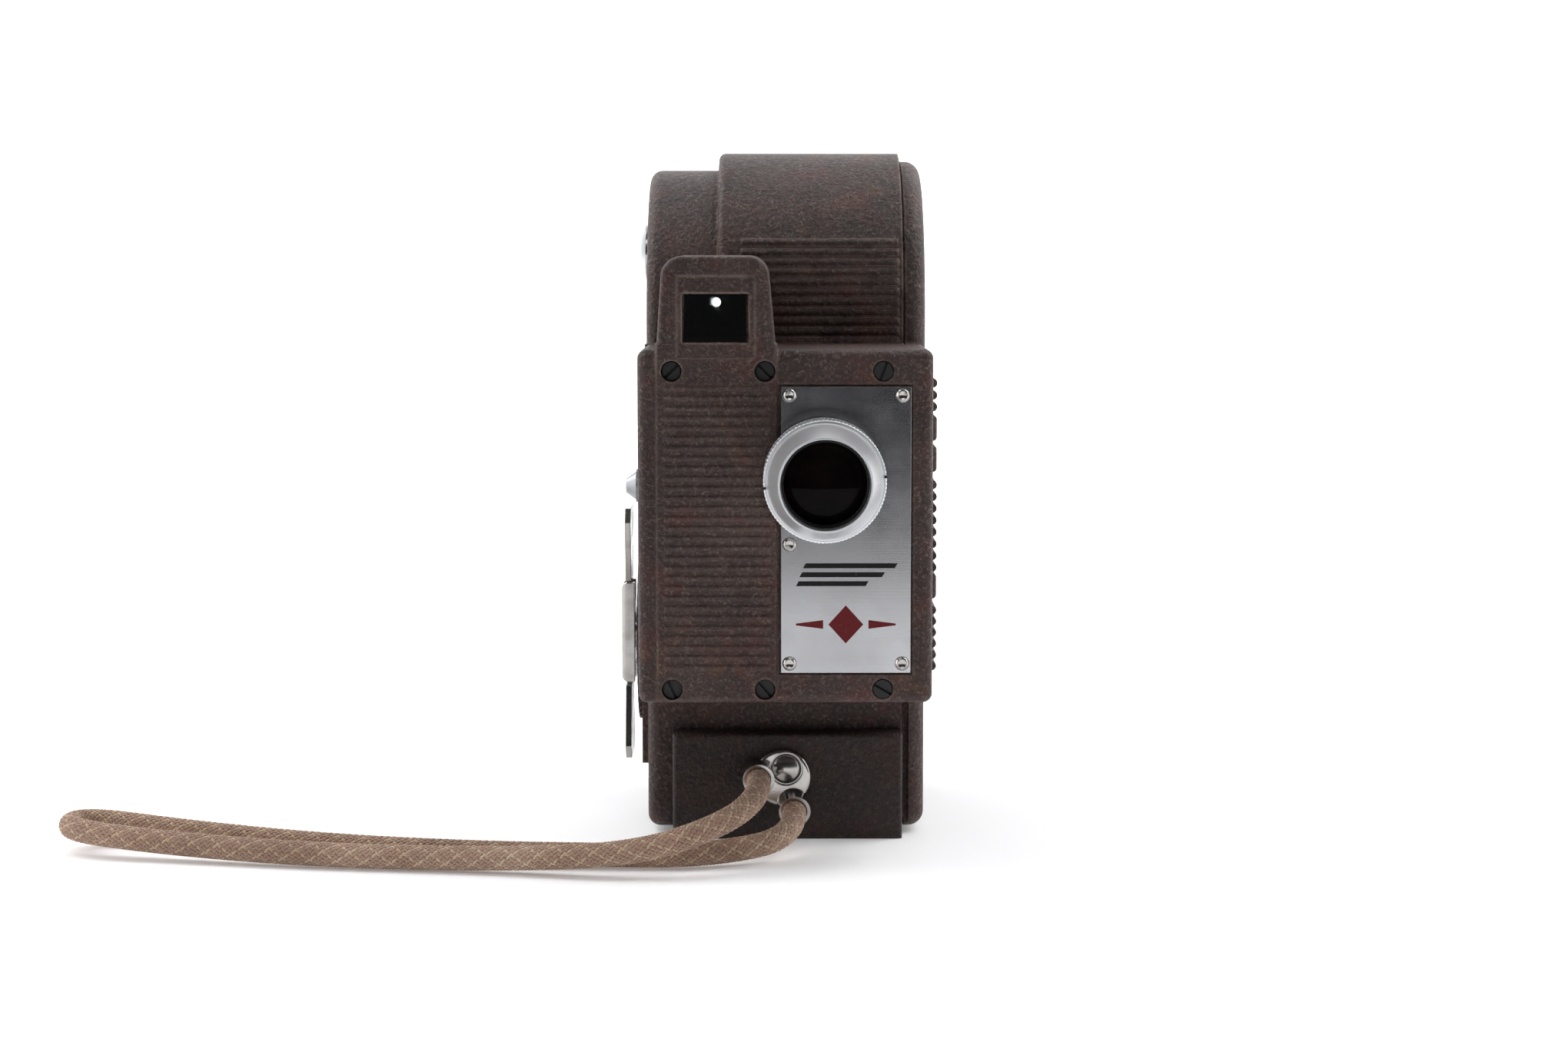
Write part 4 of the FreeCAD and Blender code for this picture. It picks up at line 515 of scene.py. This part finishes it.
FINISH = {
    BROWN: ("main_housing", "front_casing", "film_door"),
    DARK: ("foot_block", "key_escutcheon"),
    SATIN: ("lens_plate", "film_gate", "pressure_plate"),
    ALLOY: ("lens_bezel", "aperture_ring", "lens_mount_ring", "upper_roller", "lower_roller"),
    CHROME: ("eyepiece_ring", "footage_bezel", "release_button", "door_latch_knob"),
    AGED_CHROME: ("plate_rivets", "strap_plate", "strap_screw"),
    WORN_CHROME: ("key_hub", "key_wing_upper", "key_wing_lower"),
    BLACK: ("casing_screws", "take_up_spool", "supply_spool", "shutter_disc"),
    SOOT: ("lens_barrel", "finder_tube"),
    STEEL: ("key_pins", "winding_arbor", "ratchet_wheel", "click_pawl", "pawl_post", "deck_screws",
            "supply_spindle", "take_up_spindle", "roller_posts", "gate_spring", "claw_arm",
            "shutter_drive_shaft", "shutter_shaft", "speed_knob", "release_spring", "door_latch_bar"),
    BLUED: ("mainspring", "iris_diaphragm"),
    BRASS: ("mechanism_plate", "spring_barrel", "first_wheel", "idler_wheel", "governor_rotor",
            "tripod_bush"),
    CLEAR: ("finder_window", "eyepiece_lens", "footage_crystal"),
    LENS_GLASS_PAINTED_DARK: ("front_lens", "rear_lens"),
    DIAL: ("footage_dial",),
}


def paint_nodes():
    for material, names in FINISH.items():
        for name in names:
            obj = NODES[name]
            obj.data.materials.clear()
            obj.data.materials.append(material)


paint_nodes()


# ------------------------------------------------------------ face ornament
PLATE_LO, PLATE_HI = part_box("lens_plate")
FACE_Y = PLATE_LO.y


def bar(x0, x1, z0, z1, slant):
    """Outline of a flat bar whose top is shifted sideways by slant."""
    return [(x0, z0), (x1, z0), (x1 + slant, z1), (x0 + slant, z1)]


def add_flat(name, outlines, y0, y1, material, body):
    verts, faces = joined([prism(outline, y0, y1) for outline in outlines])
    obj = new_mesh(name, verts, faces, smooth=False)
    obj.data.materials.append(material)
    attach(obj, body)
    return obj


INK_PROUD = 0.06 * MM
INK_SUNK = 0.1 * MM
LINE_ENDS = ((-7.4, 8.4), (-8.0, 6.2), (-8.6, 3.4))
LINE_TOP_Z = 53.2
LINE_PITCH = 1.55
LINE_HEIGHT = 0.85 * MM
LINE_SLANT = 0.5 * MM
LOZENGE_Z = 42.6 * MM
LOZENGE_HALF = (3.0 * MM, 3.3 * MM)


def plate_ornament():
    """Generic ornament on the lower half of the plate: black slanted bars over a red lozenge."""
    mid_x = (PLATE_LO.x + PLATE_HI.x) / 2
    y0 = FACE_Y - INK_PROUD
    y1 = FACE_Y + INK_SUNK
    lines = []
    for i, (left, right) in enumerate(LINE_ENDS):
        z = (LINE_TOP_Z - LINE_PITCH * i) * MM
        lines.append(bar(mid_x + left * MM, mid_x + right * MM, z - LINE_HEIGHT, z, LINE_SLANT))
    add_flat("plate_lines", lines, y0, y1, BLACK_INK, "housing")
    mid_z = LOZENGE_Z
    wide, tall = LOZENGE_HALF
    lozenge = [(mid_x, mid_z - tall), (mid_x + wide, mid_z), (mid_x, mid_z + tall), (mid_x - wide, mid_z)]
    wings = []
    for side in (-1, 1):
        root = mid_x + side * 3.9 * MM
        tip = mid_x + side * 8.6 * MM
        wing = [(root, mid_z - 0.75 * MM), (tip, mid_z - 0.15 * MM), (tip, mid_z + 0.15 * MM),
                (root, mid_z + 0.75 * MM)]
        wings.append(wing if side > 0 else list(reversed(wing)))
    add_flat("plate_lozenge", [lozenge] + wings, y0, y1, RED_INK, "housing")


plate_ornament()


INDEX_ANGLES = (186.0, 5.0)


def index_marks():
    """Two black index marks on the front edge of the setting ring."""
    lo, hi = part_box("aperture_ring")
    cx = (lo.x + hi.x) / 2
    cz = (lo.z + hi.z) / 2
    radius = (hi.x - lo.x) / 2
    marks = []
    for degrees in INDEX_ANGLES:
        turn = math.radians(degrees)
        out = Vector((math.cos(turn), math.sin(turn)))
        side = Vector((-out.y, out.x)) * 0.22 * MM
        a = Vector((cx, cz)) + out * (radius - 0.45 * MM)
        b = Vector((cx, cz)) + out * (radius + 0.02 * MM)
        marks.append([tuple(a - side), tuple(b - side), tuple(b + side), tuple(a + side)])
    add_flat("ring_marks", marks, lo.y - 0.04 * MM, lo.y + 0.5 * MM, BLACK_INK, "stop_ring")


index_marks()


def ring_ticks(name, centre, x, inner, outer, count, body, material, long_every=5):
    """Short printed marks round a dial that faces -X."""
    parts = []
    for i in range(count):
        turn = 2 * math.pi * i / count
        start = inner - (0.5 * MM if i % long_every == 0 else 0.0)
        along = Vector((0, math.cos(turn), math.sin(turn)))
        side = Vector((0, -math.sin(turn), math.cos(turn))) * 0.11 * MM
        c = Vector((x, *centre))
        corners = [c + along * start - side, c + along * outer - side, c + along * outer + side,
                   c + along * start + side]
        verts = [tuple(p) for p in corners] + [tuple(p + Vector((0.12 * MM, 0, 0))) for p in corners]
        faces = [(3, 2, 1, 0), (4, 5, 6, 7)] + [(k, (k + 1) % 4, (k + 1) % 4 + 4, k + 4) for k in range(4)]
        parts.append((verts, faces))
    obj = new_mesh(name, *joined(parts), smooth=False)
    obj.data.materials.append(material)
    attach(obj, body)


def dial_marks():
    lo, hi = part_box("footage_dial")
    centre = ((lo.y + hi.y) / 2, (lo.z + hi.z) / 2)
    ring_ticks("counter_ticks", centre, lo.x - 0.06 * MM, 4.6 * MM, 5.7 * MM, 25, "counter", BLACK_INK)


dial_marks()


# ------------------------------------------------------------ set and light
SWEEP_FRONT = -0.5
SWEEP_BACK = 1.0
SWEEP_BEND = 0.6
SWEEP_HALF_WIDTH = 3.0
SWEEP_TOP = 2.4
GLOW_FROM = 0.12
GLOW_FULL = 0.5


def stage_floor():
    """White paper sweep: flat under the object, curving up behind it and glowing towards the back."""
    profile = [(SWEEP_FRONT, 0.0), (0.1, 0.0), (SWEEP_BACK, 0.0)]
    for i in range(1, 13):
        turn = math.radians(7.5 * i)
        profile.append((SWEEP_BACK + SWEEP_BEND * math.sin(turn), SWEEP_BEND * (1 - math.cos(turn))))
    profile.append((SWEEP_BACK + SWEEP_BEND, SWEEP_TOP))
    verts = [(side * SWEEP_HALF_WIDTH, y, z) for y, z in profile for side in (-1, 1)]
    faces = [(2 * i, 2 * i + 1, 2 * i + 3, 2 * i + 2) for i in range(len(profile) - 1)]
    obj = new_mesh("paper_sweep", verts, faces)
    g = Graph("paper")
    fibre = g.noise(300.0, 4.0)
    depth = g.add("SeparateXYZ")
    g.link(g.coords, depth.inputs[0])
    glow = g.add("MapRange")
    glow.inputs["From Min"].default_value = GLOW_FROM
    glow.inputs["From Max"].default_value = GLOW_FULL
    glow.inputs["To Min"].default_value = 0.16
    glow.inputs["To Max"].default_value = 0.95
    g.link(depth.outputs["Y"], glow.inputs["Value"])
    g.link(glow.outputs["Result"], g.shader.inputs["Emission Strength"])
    g.set(Emission_Color=lin(252, 253, 255))
    tone = g.mix(g.grey(fibre, 0.4, 0.7), lin(243, 243, 244), lin(249, 249, 249))
    obj.data.materials.append(g.finish(tone, g.grey(fibre, 0.3, 0.8, 0.75, 0.85)))


def studio_world():
    """White backdrop behind the object, dim room behind the camera."""
    world = bpy.data.worlds.new("studio")
    world.use_nodes = True
    tree = world.node_tree
    background = tree.nodes["Background"]
    coords = tree.nodes.new("ShaderNodeTexCoord")
    split = tree.nodes.new("ShaderNodeSeparateXYZ")
    ramp = tree.nodes.new("ShaderNodeValToRGB")
    ramp.color_ramp.elements[0].position = 0.4
    ramp.color_ramp.elements[0].color = (0.035, 0.035, 0.037, 1.0)
    ramp.color_ramp.elements[1].position = 0.64
    ramp.color_ramp.elements[1].color = (0.9, 0.91, 0.93, 1.0)
    shift = tree.nodes.new("ShaderNodeMath")
    shift.operation = "MULTIPLY_ADD"
    shift.inputs[1].default_value = 0.5
    shift.inputs[2].default_value = 0.5
    tree.links.new(coords.outputs["Generated"], split.inputs[0])
    tree.links.new(split.outputs["Y"], shift.inputs[0])
    tree.links.new(shift.outputs[0], ramp.inputs["Fac"])
    tree.links.new(ramp.outputs["Color"], background.inputs["Color"])
    background.inputs["Strength"].default_value = 1.0
    bpy.context.scene.world = world


def area_light(name, place, target, width, height, power):
    data = bpy.data.lights.new(name, "AREA")
    data.shape = "RECTANGLE"
    data.size = width
    data.size_y = height
    data.energy = power
    obj = bpy.data.objects.new(name, data)
    obj.location = place
    obj.rotation_mode = "QUATERNION"
    obj.rotation_quaternion = (Vector(target) - Vector(place)).to_track_quat("-Z", "Y")
    bpy.context.collection.objects.link(obj)


stage_floor()
studio_world()

# Place, target, width, height and power of each lamp; the gap over the lens keeps its top dark.
LAMPS = {
    "over_left": ((-0.75, 0.25, 0.95), (0.0, 0.0, 0.03), 0.7, 0.9, 8.0),
    "over_right": ((0.75, 0.25, 0.95), (0.0, 0.0, 0.03), 0.7, 0.9, 8.0),
    "front_high": ((0.0, -0.7, 0.8), (0.0, 0.0, 0.08), 0.8, 0.3, 1.5),
    "left_soft": ((-1.0, -0.2, 0.3), (0.0, 0.0, 0.07), 0.4, 0.8, 2.8),
    "right_soft": ((1.0, -0.2, 0.3), (0.0, 0.0, 0.07), 0.4, 0.8, 1.6),
}

for lamp, settings in LAMPS.items():
    area_light(lamp, *settings)
